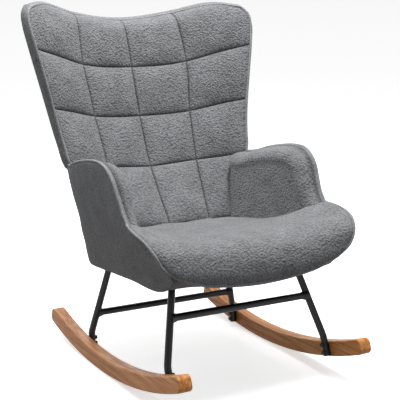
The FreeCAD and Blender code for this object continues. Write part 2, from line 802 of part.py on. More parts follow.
# The quilted cushion has a block of foam behind it that bears on the straps between the posts.
foam_block = back_piece((-120, 120), 375, 880, 0.2, 0.485)
shaped("back_cushion", cushion_layer.common(front_prism(cushion_outline)).fuse(foam_block))


# ---------------------------------------------------------------- tub: outer panels and arms

def tub_plan(row, inset):
    """The left half of the outer wall's plan at one height, from the front to the rear seam."""
    height, half, front_half, rear, squareness = row
    half, front_half, rear = half - inset, front_half - inset, rear - inset
    seam_x = min(size("seam_half_width"), half - 4)
    points = [(front_half, TUB_FRONT_REACH), (front_half * 0.35 + half * 0.65, -270), (half, -140), (half, 0)]
    last = math.acos((seam_x / half) ** (squareness / 2))
    for step in range(1, 6):
        angle = last * step / 5
        x = half * math.cos(angle) ** (2 / squareness)
        y = rear * math.sin(angle) ** (2 / squareness)
        points.append((x, y))
    return [at(x, y, height) for x, y in points]


def side_outline():
    """The side view of the outer wall as a closed run of (reach, height)."""
    front = smooth(TUB_FRONT)
    arm = smooth(ARM_FRONT)[1:] + smooth(ARM_TOP)[1:]
    return front + arm + [TUB_REAR_BOTTOM]


def wall(near, far):
    """The left wall of the tub between two insets, untrimmed."""
    return loft([strip_wire(tub_plan(row, near), tub_plan(row, far)) for row in TUB_LEVELS])


outline = side_outline()
padding = size("panel_padding")
plywood = size("panel_plywood")
outer_panel = wall(0, padding).common(side_prism(outline))

below = Part.makeBox(1200, 1200, 400)
below.Placement = under(-600, -600, size("board_thickness") + 2 - 400)
arm_frame = wall(padding + 0.5, padding + plywood).common(side_prism(inset_outline(outline, padding + 2)))
behind = Part.makeBox(900, 900, 900, at(0, ARM_PAD_REAR + 8, 0))
arm_frame = arm_frame.cut(below).cut(behind)


def pad_wire(row):
    """The plan of the left arm pad at one height, from its inner face to the outer panel."""
    wall_run = tub_plan(row, padding + 0.5)
    outside = [at(wall_run[1].x, -270, row[0]), wall_run[2], wall_run[3]]
    rear_row = row[3] - padding
    rear_half = row[1] - padding
    rear_x = rear_half * (1 - (ARM_PAD_REAR / rear_row) ** row[4]) ** (1 / row[4])
    outside.append(at(rear_x, ARM_PAD_REAR, row[0]))
    inside = between(ARM_INSIDE, row[0])
    rear_point = at(min(inside[1], rear_x - 8), ARM_PAD_REAR, row[0])
    front_point = at(min(inside[2], wall_run[1].x - 12), -270, row[0])
    run = [front_point + (rear_point - front_point) * (i / 3) for i in range(4)]
    return strip_wire(outside, run)


low_cut = Part.makeBox(1200, 1200, 400)
low_cut.Placement = under(-600, -600, size("rail_height") + 8 - 400)
arm_pad = loft([pad_wire(row) for row in TUB_LEVELS if row[0] > 300])
arm_pad = arm_pad.common(side_prism(inset_outline(outline, 1.0))).cut(low_cut).cut(arm_frame)
arm_pad = max(arm_pad.Solids, key=lambda solid: solid.Volume)

for side, shape in (("left", lambda item: item), ("right", mirrored)):
    shaped(side + "_arm_outer_panel", shape(outer_panel))
    shaped(side + "_arm_frame", shape(arm_frame))
    shaped(side + "_arm_pad", shape(arm_pad))


# ---------------------------------------------------------------- seat cushion

def lens_wire(reach, half, ends, top, bottom):
    """A section across the seat: a dished top and a curved bottom between two ends."""
    crown = [at(-half, reach, ends), at(-half * 0.55, reach, top + (ends - top) * 0.25), at(0, reach, top)]
    crown += [at(half * 0.55, reach, top + (ends - top) * 0.25), at(half, reach, ends)]
    depth = ends - bottom
    sole = []
    for share in (1, 0.75, 0.4, 0, -0.4, -0.75, -1):
        sole.append(at(half * share, reach, bottom + depth * abs(share) ** 3.4))
    return Part.Wire([spline_edge(crown), spline_edge(sole)])


def seat_wire(reach, middle, sides):
    """A section of the seat between the arms, with a flat bottom below the webbing's level."""
    share = (ARM_PAD_REAR - reach) / (ARM_PAD_REAR + 245)
    row = between(ARM_INSIDE, max(sides, 360))
    half = row[1] + (row[2] - row[1]) * share - 1
    crown = [at(-half, reach, sides), at(-half * 0.6, reach, middle + (sides - middle) * 0.3)]
    crown += [at(0, reach, middle), at(half * 0.6, reach, middle + (sides - middle) * 0.3)]
    crown.append(at(half, reach, sides))
    low_left, low_right = at(-half, reach, 285), at(half, reach, 285)
    return Part.Wire([
        spline_edge(crown),
        line_edge(crown[-1], low_right),
        line_edge(low_right, low_left),
        line_edge(low_left, crown[0]),
    ])


seat_back_part = loft([seat_wire(*row) for row in SEAT_LEVELS])
seat_front_part = loft([lens_wire(*row) for row in BOLSTER_LEVELS])
frame_zone = Part.makeBox(2 * width + 8, 900, 400)
frame_zone.Placement = under(-width - 4, front_rail_at - 1, size("rail_height") + 5 - 400)
lower_zone = Part.makeBox(1200, 900, 400)
lower_zone.Placement = under(-600, front_rail_at + 60, size("rail_height") + 5 - 400)
seat = seat_back_part.cut(frame_zone).cut(lower_zone).fuse(seat_front_part.cut(frame_zone))


def apron_wire(x, top_height):
    """A section of the band under the seat's front lip."""
    lip, rim = at(x, -396, top_height), at(x, -338, 300)
    rise = FreeCAD.Vector(0, 2, 7)
    return Part.makePolygon([lip, rim, rim + rise, lip + rise, lip])


lip_heights = [(-238, 345), (-160, 318), (-80, 306), (0, 302), (80, 306), (160, 318), (238, 345)]
apron = loft([apron_wire(x, top_height) for x, top_height in lip_heights])
for item in (outer_panel, arm_frame, arm_pad):
    seat = seat.cut(item).cut(mirrored(item))
seat = seat.cut(apron)
shaped("seat_cushion", max(seat.Solids, key=lambda solid: solid.Volume))
shaped("seat_front_apron", apron.cut(outer_panel).cut(mirrored(outer_panel)))


# ---------------------------------------------------------------- piping

def piping(label, points, stations):
    """A round welt through points, drawn as a run of circles square to its path."""
    lengths = [0.0]
    for near, far in zip(points, points[1:]):
        lengths.append(lengths[-1] + near.distanceToPoint(far))
    path = Part.BSplineCurve()
    path.interpolate(Points=points, Parameters=lengths)
    rings = []
    for place in path.discretize(stations):
        direction = path.tangent(path.parameter(place))[0]
        rings.append(Part.Wire([Part.Circle(place, direction, size("piping_diameter") / 2).toShape()]))
    shaped(label, loft(rings))


def back_edge_point(x, height):
    """A point on the front rim of the back, pushed back behind the crown at the top."""
    row = between(BACK_LEVELS, height)
    roll = max(0.0, 1 - abs(x) / 340) ** 0.5 if height > 900 else 0.0
    return back_point(row, x, 0.02 + 0.45 * roll)


rim = WING_EDGE + [(363, 940), (350, 978), (315, 994), (250, 986), (166, 964), (80, 949)]
rim_points = [back_edge_point(x, z) for x, z in rim]
middle_point = back_edge_point(0, 944)
far_points = [FreeCAD.Vector(-point.x, point.y, point.z) for point in reversed(rim_points)]
piping("back_piping", rim_points + [middle_point] + far_points, 61)

arm_path = list(reversed(ARM_TOP[1:5])) + [ARM_TOP[0]] + list(reversed(ARM_FRONT[:-1]))
seat_half = [at(*point) for point in SEAT_PIPING]
for side, sign in SIDES.items():
    points = []
    for reach, height in arm_path:
        half = between(TUB_LEVELS, height)[1] + 1.0
        points.append(at(sign * half, reach, height + 2.0))
    piping(side + "_arm_piping", points, 25)
seat_points = [FreeCAD.Vector(-point.x, point.y, point.z) for point in reversed(seat_half[1:])] + seat_half
piping("seat_front_piping", seat_points, 49)


# ---------------------------------------------------------------- finish

document.recompute()
for item in document.Objects:
    if "Invalid" in item.State or "Error" in item.State:
        raise RuntimeError(f"{item.Label}: {item.State}")
os.makedirs("parts", exist_ok=True)
for item in sub_parts:
    if item.Shape.isNull() or not item.Shape.isValid():
        raise RuntimeError(item.Label + ": no valid shape")
    item.Shape.exportStep(f"parts/{item.Label}.step")
print(len(sub_parts), "sub-parts written")
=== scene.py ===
import logging
import math
from dataclasses import dataclass
from enum import Enum
from typing import Any

import bmesh
import bpy
import numpy as np
from numpy.typing import NDArray
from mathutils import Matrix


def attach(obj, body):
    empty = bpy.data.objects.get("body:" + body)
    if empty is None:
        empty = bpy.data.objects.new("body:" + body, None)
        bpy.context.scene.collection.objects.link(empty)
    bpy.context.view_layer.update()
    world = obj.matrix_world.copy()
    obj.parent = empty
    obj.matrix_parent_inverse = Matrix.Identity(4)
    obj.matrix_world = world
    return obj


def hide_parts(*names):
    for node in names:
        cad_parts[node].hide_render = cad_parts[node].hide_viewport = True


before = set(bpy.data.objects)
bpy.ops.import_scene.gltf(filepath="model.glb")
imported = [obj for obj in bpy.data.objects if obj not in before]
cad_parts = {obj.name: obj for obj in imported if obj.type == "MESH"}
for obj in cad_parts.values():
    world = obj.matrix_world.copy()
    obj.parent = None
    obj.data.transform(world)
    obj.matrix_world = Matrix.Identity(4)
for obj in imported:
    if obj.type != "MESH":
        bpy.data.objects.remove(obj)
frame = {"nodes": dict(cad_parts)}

Array = NDArray[np.float64]
Row = tuple[float, ...]
Table = tuple[Row, ...]
LOG = logging.getLogger("rocking_chair")
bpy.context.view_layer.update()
MM = 0.001
CONTACT_REACH = 12.0  # the frame's y at the rockers' floor line, mm; tables below count reach from it
SEED = 7
SIDES = {"right": -1.0, "left": 1.0}


# ---------------------------------------------------------------- curves and grids


def hermite(knots: Any, values: Any, at: Any) -> Array:
    """Smooth curve through values at knots.

    Between two knots the curve is the cubic with the knots' values and slopes, and a knot's slope is
    the mean of the slopes beside it, weighted towards the shorter side.

    Args:
        knots: Rising parameters, one for each value.
        values: One number or one row of numbers for each knot.
        at: Parameters to work the curve out at; past the ends the end value is kept.

    Returns:
        The curve, with the shape of at followed by a value's shape.
    """
    knot, value, at = (np.asarray(part, float) for part in (knots, values, at))
    flat = value.reshape(len(knot), -1)
    step = np.diff(knot)[:, None]
    slope = np.diff(flat, axis=0) / step
    tangent = np.empty_like(flat)
    tangent[1:-1] = (slope[:-1] * step[1:] + slope[1:] * step[:-1]) / (step[1:] + step[:-1])
    tangent[0], tangent[-1] = slope[0], slope[-1]
    place = np.clip(np.searchsorted(knot, at, side="right") - 1, 0, len(knot) - 2)
    width = step[place]
    t = np.clip((at - knot[place]) / width[..., 0], 0.0, 1.0)[..., None]
    result = (
        (2 * t**3 - 3 * t**2 + 1) * flat[place]
        + (t**3 - 2 * t**2 + t) * width * tangent[place]
        + (3 * t**2 - 2 * t**3) * flat[place + 1]
        + (t**3 - t**2) * width * tangent[place + 1]
    )
    return result.reshape(at.shape + value.shape[1:])


def straight(knots: Any, values: Any, at: Any) -> Array:
    """Broken line through the values at the knots, worked out at the parameters."""
    return np.interp(at, np.asarray(knots, float), np.asarray(values, float))


def through(points: Any, count: int) -> Array:
    """Even points along a smooth curve through points.

    The curve's parameter is the chord length from point to point.

    Args:
        points: Rows of two or three numbers.
        count: How many points to return.

    Returns:
        An array of count rows, evenly spaced along the curve.
    """
    row = np.asarray(points, float)
    chord = np.concatenate([[0.0], np.cumsum(np.linalg.norm(np.diff(row, axis=0), axis=1))])
    fine = hermite(chord, row, np.linspace(0.0, chord[-1], count * 8))
    length = np.concatenate([[0.0], np.cumsum(np.linalg.norm(np.diff(fine, axis=0), axis=1))])
    wanted = np.linspace(0.0, length[-1], count)
    return np.stack([np.interp(wanted, length, column) for column in fine.T], axis=1)


def crowded(breaks: Any, each: int) -> Array:
    """Parameters from the first break to the last, crowded towards every break.

    In each span the parameter is a + (b - a) * (1 - cos(pi * k / each)) / 2.

    Args:
        breaks: Rising parameters.
        each: Steps from one break to the next.

    Returns:
        The parameters.
    """
    ease = (1 - np.cos(np.pi * np.arange(each) / each)) / 2
    edges = np.asarray(breaks, float)
    inner = (edges[:-1, None] + np.diff(edges)[:, None] * ease[None, :]).ravel()
    return np.append(inner, edges[-1])


def unit(rows: Array) -> Array:
    """The rows scaled to a length of 1."""
    return rows / np.maximum(np.linalg.norm(rows, axis=-1, keepdims=True), 1e-9)


def turned(rows: Array, towards: Array) -> Array:
    """The rows, each turned round where it points away from the direction towards."""
    return rows * np.where((rows * towards).sum(axis=-1, keepdims=True) < 0, -1.0, 1.0)


def normals(grid: Array, towards: Array) -> Array:
    """Unit normals of a grid of points, on the side that the direction towards points to."""
    normal = np.cross(np.gradient(grid, axis=0), np.gradient(grid, axis=1))
    return turned(unit(normal), towards)


def pinned(face: Array, base: Array) -> Array:
    """The face with its four edges put on those of the base."""
    face[0], face[-1], face[:, 0], face[:, -1] = base[0], base[-1], base[:, 0], base[:, -1]
    return face


def run_lengths(grid: Array, axis: int) -> tuple[Array, Array]:
    """Distances along a grid's lines.

    Args:
        grid: A grid of points in mm.
        axis: 0 for lines down the rows, 1 for lines along the columns.

    Returns:
        For each point, the distance in mm from its line's start and the one to its end.
    """
    step = np.linalg.norm(np.diff(grid, axis=axis), axis=2)
    pad = [(1, 0), (0, 0)] if axis == 0 else [(0, 0), (1, 0)]
    start = np.cumsum(np.pad(step, pad), axis=axis)
    return start, start.take([-1], axis=axis) - start


def rounded(distance: Array, radius: float) -> Array:
    """Quarter round: 0 at the edge, rising as a circle to 1 at one radius inside."""
    return np.sqrt(np.maximum(0.0, 1 - (1 - np.clip(distance / radius, 0, 1)) ** 2))


def edges(grid: Array) -> tuple[Array, Array, Array, Array]:
    """Distances in mm from a grid's first column, last column, first row and last row."""
    return (*run_lengths(grid, 1), *run_lengths(grid, 0))


def domed(grid: Array, radius: float) -> Array:
    """0 on all four edges of a grid and 1 from one radius inside them, rounded in between."""
    left, right, low, high = edges(grid)
    return rounded(np.minimum(left, right), radius) * rounded(np.minimum(low, high), radius)


def eased(share: Array) -> Array:
    """The smooth step 3 s^2 - 2 s^3 of a share from 0 to 1."""
    return share * share * (3 - 2 * share)


def crease(distance: Array, width: float) -> Array:
    """How deep in a seam a point is: exp(-(distance / width)^2)."""
    return np.exp(-((distance / width) ** 2))


def ripple(points: Array, wavelength: float, seed: int) -> Array:
    """Soft unevenness from -1 to 1: the mean of nine sine waves in seeded directions.

    Args:
        points: Points in mm, in the last axis.
        wavelength: The waves' mean length in mm.
        seed: The seed of their directions and phases.

    Returns:
        One number for each point.
    """
    chance = np.random.default_rng(seed)
    waves = unit(chance.normal(size=(9, 3)))
    waves *= 2 * np.pi / wavelength * chance.uniform(0.7, 1.4, (9, 1))
    phases = chance.uniform(0, 2 * np.pi, 9)
    return np.sin(points @ waves.T + phases).mean(axis=-1) * 2.0


def nearest(points: Array, line: Array) -> Array:
    """Distance from each point to a broken line.

    Args:
        points: Points (u, v), in the last axis.
        line: The line's corners (u, v).

    Returns:
        One distance for each point.
    """
    start, run = line[:-1], np.diff(line, axis=0)
    offset = points[..., None, :] - start
    share = np.clip((offset * run).sum(-1) / np.maximum((run * run).sum(-1), 1e-9), 0, 1)
    return np.linalg.norm(offset - share[..., None] * run, axis=-1).min(axis=-1)


# ---------------------------------------------------------------- meshes


def to_frame(points: Array) -> Array:
    """Points (x, reach, height) in mm as points of the frame in metres."""
    return (points.reshape(-1, 3) + np.array([0.0, CONTACT_REACH, 0.0])) * MM


def mesh_object(name: str, points: Array, quads: Array, seam: Array | None = None) -> bpy.types.Object:
    """Makes a closed, smooth-shaded mesh object at the origin with its faces outwards.

    Args:
        name: The piece's name.
        points: Points (x, reach, height) in mm.
        quads: Rows of four point numbers.
        seam: Painted shade for each point, from 0 to 1, deepest down in seams and creases, which the cloth's
            finish darkens by.

    Returns:
        The new object, linked to the scene.
    """
    mesh = bpy.data.meshes.new(name)
    mesh.from_pydata(to_frame(points).tolist(), [], quads.tolist())
    if seam is not None:
        # The seam attribute carries painted shade for the cloth's colour.
        mesh.attributes.new("seam", "FLOAT", "POINT").data.foreach_set("value", seam.astype(np.float32))
    work = bmesh.new()
    work.from_mesh(mesh)
    bmesh.ops.remove_doubles(work, verts=work.verts, dist=0.00002)
    bmesh.ops.recalc_face_normals(work, faces=work.faces)
    work.to_mesh(mesh)
    work.free()
    mesh.polygons.foreach_set("use_smooth", np.ones(len(mesh.polygons), bool))
    mesh.update()
    piece = bpy.data.objects.new(name, mesh)
    bpy.context.scene.collection.objects.link(piece)
    return piece


def quads_of(numbers: Array) -> Array:
    """The four corners of each cell of a grid of point numbers."""
    corners = [numbers[:-1, :-1], numbers[1:, :-1], numbers[1:, 1:], numbers[:-1, 1:]]
    return np.stack(corners, axis=-1).reshape(-1, 4)


def border(grid: Array) -> Array:
    """A grid's outer points, once round."""
    return np.concatenate([grid[:-1, 0], grid[-1, :-1], grid[:0:-1, -1], grid[0, :0:-1]])


def boxed(
    name: str, face: Array, rings: list[Array], back: Array, seam: Array | None = None
) -> bpy.types.Object:
    """A closed piece with a face, a band round its edge and a back.

    Both faces are grids with the same rows and columns, and each ring is a loop of points that follows
    the face's border; the band runs from the face's border through the rings to the back's border.

    Args:
        name: The piece's name.
        face: The front grid.
        rings: The loops between the two borders, front to back.
        back: The rear grid.
        seam: Painted shade for each point of the face, from 0 to 1, deepest down in seams and creases.

    Returns:
        The new object.
    """
    rows, columns = face.shape[:2]
    front = np.arange(rows * columns).reshape(rows, columns)
    rear = front + rows * columns
    points = [face.reshape(-1, 3), back.reshape(-1, 3)]
    loops, count = [border(front)], 2 * rows * columns
    for ring in rings:
        points.append(ring)
        loops.append(np.arange(count, count + len(ring)))
        count += len(ring)
    loops.append(border(rear))
    band = np.stack([np.append(loop, loop[0]) for loop in loops])
    quads = np.concatenate([quads_of(front), quads_of(rear), quads_of(band)])
    # Painted shade on the face's points, none on the band and back.
    painted_shade = np.zeros(count)
    if seam is not None:
        painted_shade[: rows * columns] = seam.ravel()
    return mesh_object(name, np.concatenate(points), quads, painted_shade)


def tube(name: str, path: Array, radius: float, sides: int = 12) -> bpy.types.Object:
    """A round cord along a path, closed by domes.

    A point of the tube is path(s) + r * (cos a * side + sin a * up), where side and up are square to the
    path's direction, and r falls to nothing along a quarter circle at the two ends.

    Args:
        name: The piece's name.
        path: Points of the centre line, in mm.
        radius: The cord's radius in mm.
        sides: Faces round it.

    Returns:
        The new object.
    """
    direction = unit(np.gradient(path, axis=0))
    lead, trail = direction[:1], direction[-1:]
    dome = np.array([0.999, 0.8, 0.5, 0.2])
    centre = np.concatenate(
        [path[:1] - lead * radius * dome[:, None], path, path[-1:] + trail * radius * dome[::-1, None]]
    )
    direction = np.concatenate([np.repeat(lead, 4, 0), direction, np.repeat(trail, 4, 0)])
    width = np.concatenate([np.sqrt(1 - dome**2), np.ones(len(path)), np.sqrt(1 - dome[::-1] ** 2)])
    turn = np.linspace(0, 2 * np.pi, sides, endpoint=False)
    side = unit(np.cross(direction, np.array([0.31, 0.62, 0.72])))
    up = np.cross(direction, side)
    circle = np.cos(turn)[None, :, None] * side[:, None] + np.sin(turn)[None, :, None] * up[:, None]
    skin = centre[:, None] + circle * (radius * width)[:, None, None]
    numbers = np.arange(skin.shape[0] * sides).reshape(-1, sides)
    numbers = np.concatenate([numbers, numbers[:, :1]], axis=1)
    caps = []
    for ring in (numbers[0, :-1], numbers[-1, :-1]):
        half = sides // 2
        caps.append(np.stack([ring[:half - 1], ring[1:half], ring[::-1][1:half], ring[::-1][:half - 1]], 1))
    return mesh_object(name, skin, np.concatenate([quads_of(numbers), *caps]))


# ---------------------------------------------------------------- finishes


def linear(shade: str) -> tuple[float, float, float, float]:
    """An sRGB hex colour as linear light, with an alpha of 1."""
    parts = [int(shade[i : i + 2], 16) / 255 for i in (1, 3, 5)]
    light = [p / 12.92 if p <= 0.04045 else ((p + 0.055) / 1.055) ** 2.4 for p in parts]
    return (light[0], light[1], light[2], 1.0)


def add(
    tree: bpy.types.NodeTree, kind: str, inputs: dict[Any, Any] | None = None, **settings: Any
) -> bpy.types.Node:
    """Adds a node to a tree.

    Args:
        tree: The node tree.
        kind: The node's type.
        inputs: For each input's name or number, a value or the output socket that feeds it.
        settings: The node's own settings.

    Returns:
        The new node.
    """
    node = tree.nodes.new(kind)
    for name, value in settings.items():
        setattr(node, name, value)
    for socket, value in (inputs or {}).items():
        if isinstance(value, bpy.types.NodeSocket):
            tree.links.new(value, node.inputs[socket])
        else:
            node.inputs[socket].default_value = value
    return node


def noise(
    tree: bpy.types.NodeTree, place: Any, scale: float, detail: float, **inputs: float
) -> Any:
    """Adds a noise texture with a scale per metre; inputs are its other inputs by name."""
    return add(tree, "ShaderNodeTexNoise", {"Vector": place, "Scale": scale, "Detail": detail, **inputs})


def mixed(tree: bpy.types.NodeTree, share: Any, under: Any, over: Any, blend: str = "MIX") -> Any:
    """Blends a share of one colour over another; returns the colour output."""
    inputs = {0: share, 6: under, 7: over}
    return add(tree, "ShaderNodeMix", inputs, data_type="RGBA", blend_type=blend).outputs[2]


def relief(tree: bpy.types.NodeTree, height: Any, strength: float, depth: float) -> Any:
    """Turns a height into a normal, for a relief depth mm deep; returns the normal output."""
    inputs = {"Height": height, "Strength": strength, "Distance": depth * MM}
    return add(tree, "ShaderNodeBump", inputs).outputs["Normal"]


def ramp(tree: bpy.types.NodeTree, factor: Any, stops: list[tuple[float, str]]) -> Any:
    """Adds a colour ramp.

    Args:
        tree: The node tree.
        factor: The output socket that drives it.
        stops: Places from 0 to 1, each with its hex colour.

    Returns:
        The ramp's colour output.
    """
    node = add(tree, "ShaderNodeValToRGB", {"Fac": factor})
    while len(node.color_ramp.elements) < len(stops):
        node.color_ramp.elements.new(0.5)
    for element, (place, shade) in zip(node.color_ramp.elements, stops):
        element.position = place
        element.color = linear(shade)
    return node.outputs["Color"]


def new_material(name: str) -> tuple[bpy.types.Material, bpy.types.NodeTree, Any]:
    """An empty node material, its tree and the object coordinates' output."""
    material = bpy.data.materials.new(name)
    material.use_nodes = True
    material.node_tree.nodes.clear()
    place = add(material.node_tree, "ShaderNodeTexCoord").outputs["Object"]
    return material, material.node_tree, place


def close(tree: bpy.types.NodeTree, sockets: dict[str, Any]) -> None:
    """Ends a tree with a Principled shader with these inputs and the material output."""
    shader = add(tree, "ShaderNodeBsdfPrincipled", sockets)
    add(tree, "ShaderNodeOutputMaterial", {"Surface": shader.outputs["BSDF"]})


@dataclass(frozen=True)
class LoopedCloth:
    """Short-pile looped upholstery cloth, one grey yarn.

    Its curled loops stand up as small round nubs with no gloss, and it turns paler where it is seen along the
    pile. The nubs' tips carry a painted highlight and the gaps between them painted shade, both set by the
    relief's depth over the one yarn colour. Down in a seam and along a piece's creased rims it takes painted
    shade, read from the piece's seam attribute.
    """

    name: str
    # painted shade in the gaps between the nubs
    painted_gap_shade: str
    yarn: str
    # painted highlight on the nubs' tips
    painted_tip_highlight: str
    loop_size: float = 5.4  # mm from nub to nub, coarser than the real 3 to 4 mm so that it shows
    relief: float = 4.0  # mm from the tips to the gaps
    sheen: float = 0.2
    # colour of the painted shade down in seams and creases
    seam: str = "#1d1d1f"
    curl: float = 0.9  # how far the loops wander, in loop sizes
    patch_size: float = 45.0  # mm across a slow change of tone

    def build(self) -> bpy.types.Material:
        """Makes the material."""
        material, tree, place = new_material(self.name)
        size = self.loop_size * MM
        curl = noise(tree, place, 0.6 / size, 1.0)
        bent = add(
            tree,
            "ShaderNodeVectorMath",
            {0: curl.outputs["Color"], 1: (self.curl * size,) * 3},
            operation="MULTIPLY",
        )
        moved = add(tree, "ShaderNodeVectorMath", {0: place, 1: bent.outputs[0]}, operation="ADD")
        nubs = add(
            tree,
            "ShaderNodeTexVoronoi",
            {"Vector": moved.outputs[0], "Scale": 1 / size, "Smoothness": 0.6},
            feature="SMOOTH_F1",
        )
        fuzz = noise(tree, place, 1.6 / size, 3.0, Roughness=0.6)
        fade = add(
            tree,
            "ShaderNodeMapRange",
            {"Value": fuzz.outputs["Fac"], "From Min": 0.3, "From Max": 0.7, "To Min": -0.12, "To Max": 0.12},
        )
        depth = add(
            tree, "ShaderNodeMath", {0: nubs.outputs["Distance"], 1: fade.outputs["Result"]}, operation="ADD"
        ).outputs[0]
        # Painted highlight on the tips and painted shade in the gaps, set by the relief's depth.
        yarn = ramp(tree, depth, [(0.15, self.painted_tip_highlight), (0.45, self.yarn), (0.8, self.painted_gap_shade)])
        patch = noise(tree, place, 1 / (self.patch_size * MM), 2.0)
        drift = ramp(tree, patch.outputs["Fac"], [(0.35, "#ececec"), (0.65, "#ffffff")])
        tinted = mixed(tree, 1.0, yarn, drift, "MULTIPLY")
        # Painted shade: the seam attribute blends the cloth towards the dark seam colour in seams and
        # creases.
        seam = add(tree, "ShaderNodeAttribute", attribute_name="seam").outputs["Fac"]
        height = add(tree, "ShaderNodeMath", {0: 1.0, 1: depth}, operation="SUBTRACT").outputs[0]
        close(
            tree,
            {
                "Base Color": mixed(tree, seam, tinted, linear(self.seam)),
                "Roughness": 0.95,
                "Specular IOR Level": 0.2,
                "Sheen Weight": self.sheen,
                "Sheen Roughness": 0.5,
                "Normal": relief(tree, height, 0.9, self.relief),
            },
        )
        return material


@dataclass(frozen=True)
class SawnWood:
    """Wood sawn along the grain: by itself, beech stained honey brown under a satin lacquer.

    The pores show as fine darker dashes along the length, with slow bands of early and late wood.
    """

    name: str = "honey beech, satin lacquer"
    dark: str = "#b0682d"
    middle: str = "#d68c48"
    light: str = "#ebb274"
    grain_width: float = 5.0  # mm across one band
    grain_length: float = 110.0  # mm along one band

    def build(self) -> bpy.types.Material:
        """Makes the material."""
        material, tree, place = new_material(self.name)
        across, along = 1 / (self.grain_width * MM), 1 / (self.grain_length * MM)
        stretched = add(
            tree, "ShaderNodeMapping", {"Vector": place, "Scale": (across, along, across)}
        ).outputs["Vector"]
        bands = noise(tree, stretched, 0.5, 4.0, Distortion=0.6).outputs["Fac"]
        pores = noise(tree, stretched, 4.0, 2.0, Roughness=0.7).outputs["Fac"]
        tone = ramp(tree, bands, [(0.3, self.dark), (0.5, self.middle), (0.72, self.light)])
        dashes = ramp(tree, pores, [(0.34, "#c9a885"), (0.48, "#ffffff")])
        close(
            tree,
            {
                "Base Color": mixed(tree, 0.55, tone, dashes, "MULTIPLY"),
                "Roughness": 0.5,
                "Specular IOR Level": 0.25,
                "Coat Weight": 0.05,
                "Coat Roughness": 0.25,
                "Normal": relief(tree, pores, 0.25, 0.15),
            },
        )
        return material


@dataclass(frozen=True)
class PlainFinish:
    """A finish of one base colour with a fine cloudy variation and a fine relief.

    It serves metal, plastic, webbing and lining. Grit is the relief's grain in mm, and relief its depth.
    """

    name: str
    shade: str
    tint: str
    grit: float
    relief: float
    roughness: float
    metallic: float = 0.0

    def build(self) -> bpy.types.Material:
        """Makes the material."""
        material, tree, place = new_material(self.name)
        grit = noise(tree, place, 1 / (self.grit * MM), 2.0).outputs["Fac"]
        cloud = noise(tree, place, 1 / (25 * MM), 3.0).outputs["Fac"]
        rough = add(
            tree,
            "ShaderNodeMapRange",
            {"Value": cloud, "To Min": self.roughness - 0.05, "To Max": self.roughness + 0.05},
        )
        close(
            tree,
            {
                "Base Color": ramp(tree, cloud, [(0.35, self.shade), (0.68, self.tint)]),
                "Metallic": self.metallic,
                "Specular IOR Level": 0.3,
                "Roughness": rough.outputs["Result"],
                "Normal": relief(tree, grit, 0.4, self.relief),
            },
        )
        return material


class Finish(Enum):
    """Each finish of the chair, with the record's slot as its value."""

    BOUCLE = "boucle_fabric"
    OUTER = "outer_fabric"
    PIPING = "piping_fabric"
    ROCKER = "rocker_wood"
    FRAME = "frame_wood"
    STEEL = "black_steel"
    ZINC = "zinc_fasteners"
    PLASTIC = "black_plastic"
    WEBBING = "elastic_webbing"
    LINING = "dust_cover_cloth"


RECIPES: dict[Finish, Any] = {
    # Looped polyester cloth: matt, soft, with painted highlights on its nubs' tips and painted shade in their
    # gaps.
    Finish.BOUCLE: LoopedCloth("grey looped upholstery cloth", "#737477", "#87888b", "#969799"),
    # The same cloth pulled tight over the outside boards, so its loops lie flatter.
    Finish.OUTER: LoopedCloth(
        "grey looped cloth pulled tight", "#7a7b7e", "#8b8c8f", "#96979a", 5.0, 1.8, 0.15
    ),
    # A bias strip of the seat's cloth over a cord, stretched thin; its tones are set paler than the seat's, a
    # painted highlight along the raised cord.
    Finish.PIPING: LoopedCloth("grey piping cloth", "#808184", "#999a9d", "#a8a9ac", 3.6, 1.2),
    Finish.ROCKER: SawnWood(),
    # Pine and plywood inside the shell: pale, dry, unfinished.
    Finish.FRAME: SawnWood("bare pine and plywood", "#b48f60", "#cdaa7c", "#dcc096", 9.0, 160.0),
    # Polyester powder coat on steel tube: black, satin, a faint orange-peel surface.
    Finish.STEEL: PlainFinish("black powder-coated steel", "#060607", "#0a0b0c", 1.8, 0.06, 0.38),
    # Black zinc plate on steel screws: dark grey metal, slightly cloudy.
    Finish.ZINC: PlainFinish("black zinc-plated steel", "#2b2c2e", "#3a3b3d", 0.8, 0.02, 0.38, 1.0),
    # Moulded polyethylene plugs: black, dull, fine spark-eroded texture.
    Finish.PLASTIC: PlainFinish("black moulded plastic", "#141414", "#1c1c1d", 0.6, 0.04, 0.55),
    # Rubber and polypropylene webbing: dark, ribbed, dull.
    Finish.WEBBING: PlainFinish("elastic seat webbing", "#2c2a28", "#3d3a36", 1.6, 0.3, 0.85),
    # Spun-bonded polypropylene lining: black, thin, dull, dimpled.
    Finish.LINING: PlainFinish("black spun-bonded lining", "#151516", "#212123", 1.5, 0.12, 0.9),
}

# Words that a CAD node's name holds; where two finishes fit a name, the later one counts.
CAD_FINISHES: dict[Finish, tuple[str, ...]] = {
    Finish.ROCKER: ("rocker",),
    Finish.STEEL: ("leg", "crossbar", "mounting_plate", "welds"),
    Finish.ZINC: ("bolts", "washers", "inserts", "tee_nuts"),
    Finish.PLASTIC: ("plugs",),
    Finish.WEBBING: ("straps",),
    Finish.LINING: ("dust_cover",),
    # The inserts are buried in the rockers, and keep the finish of the parts inside.
    Finish.FRAME: ("threaded",),
}


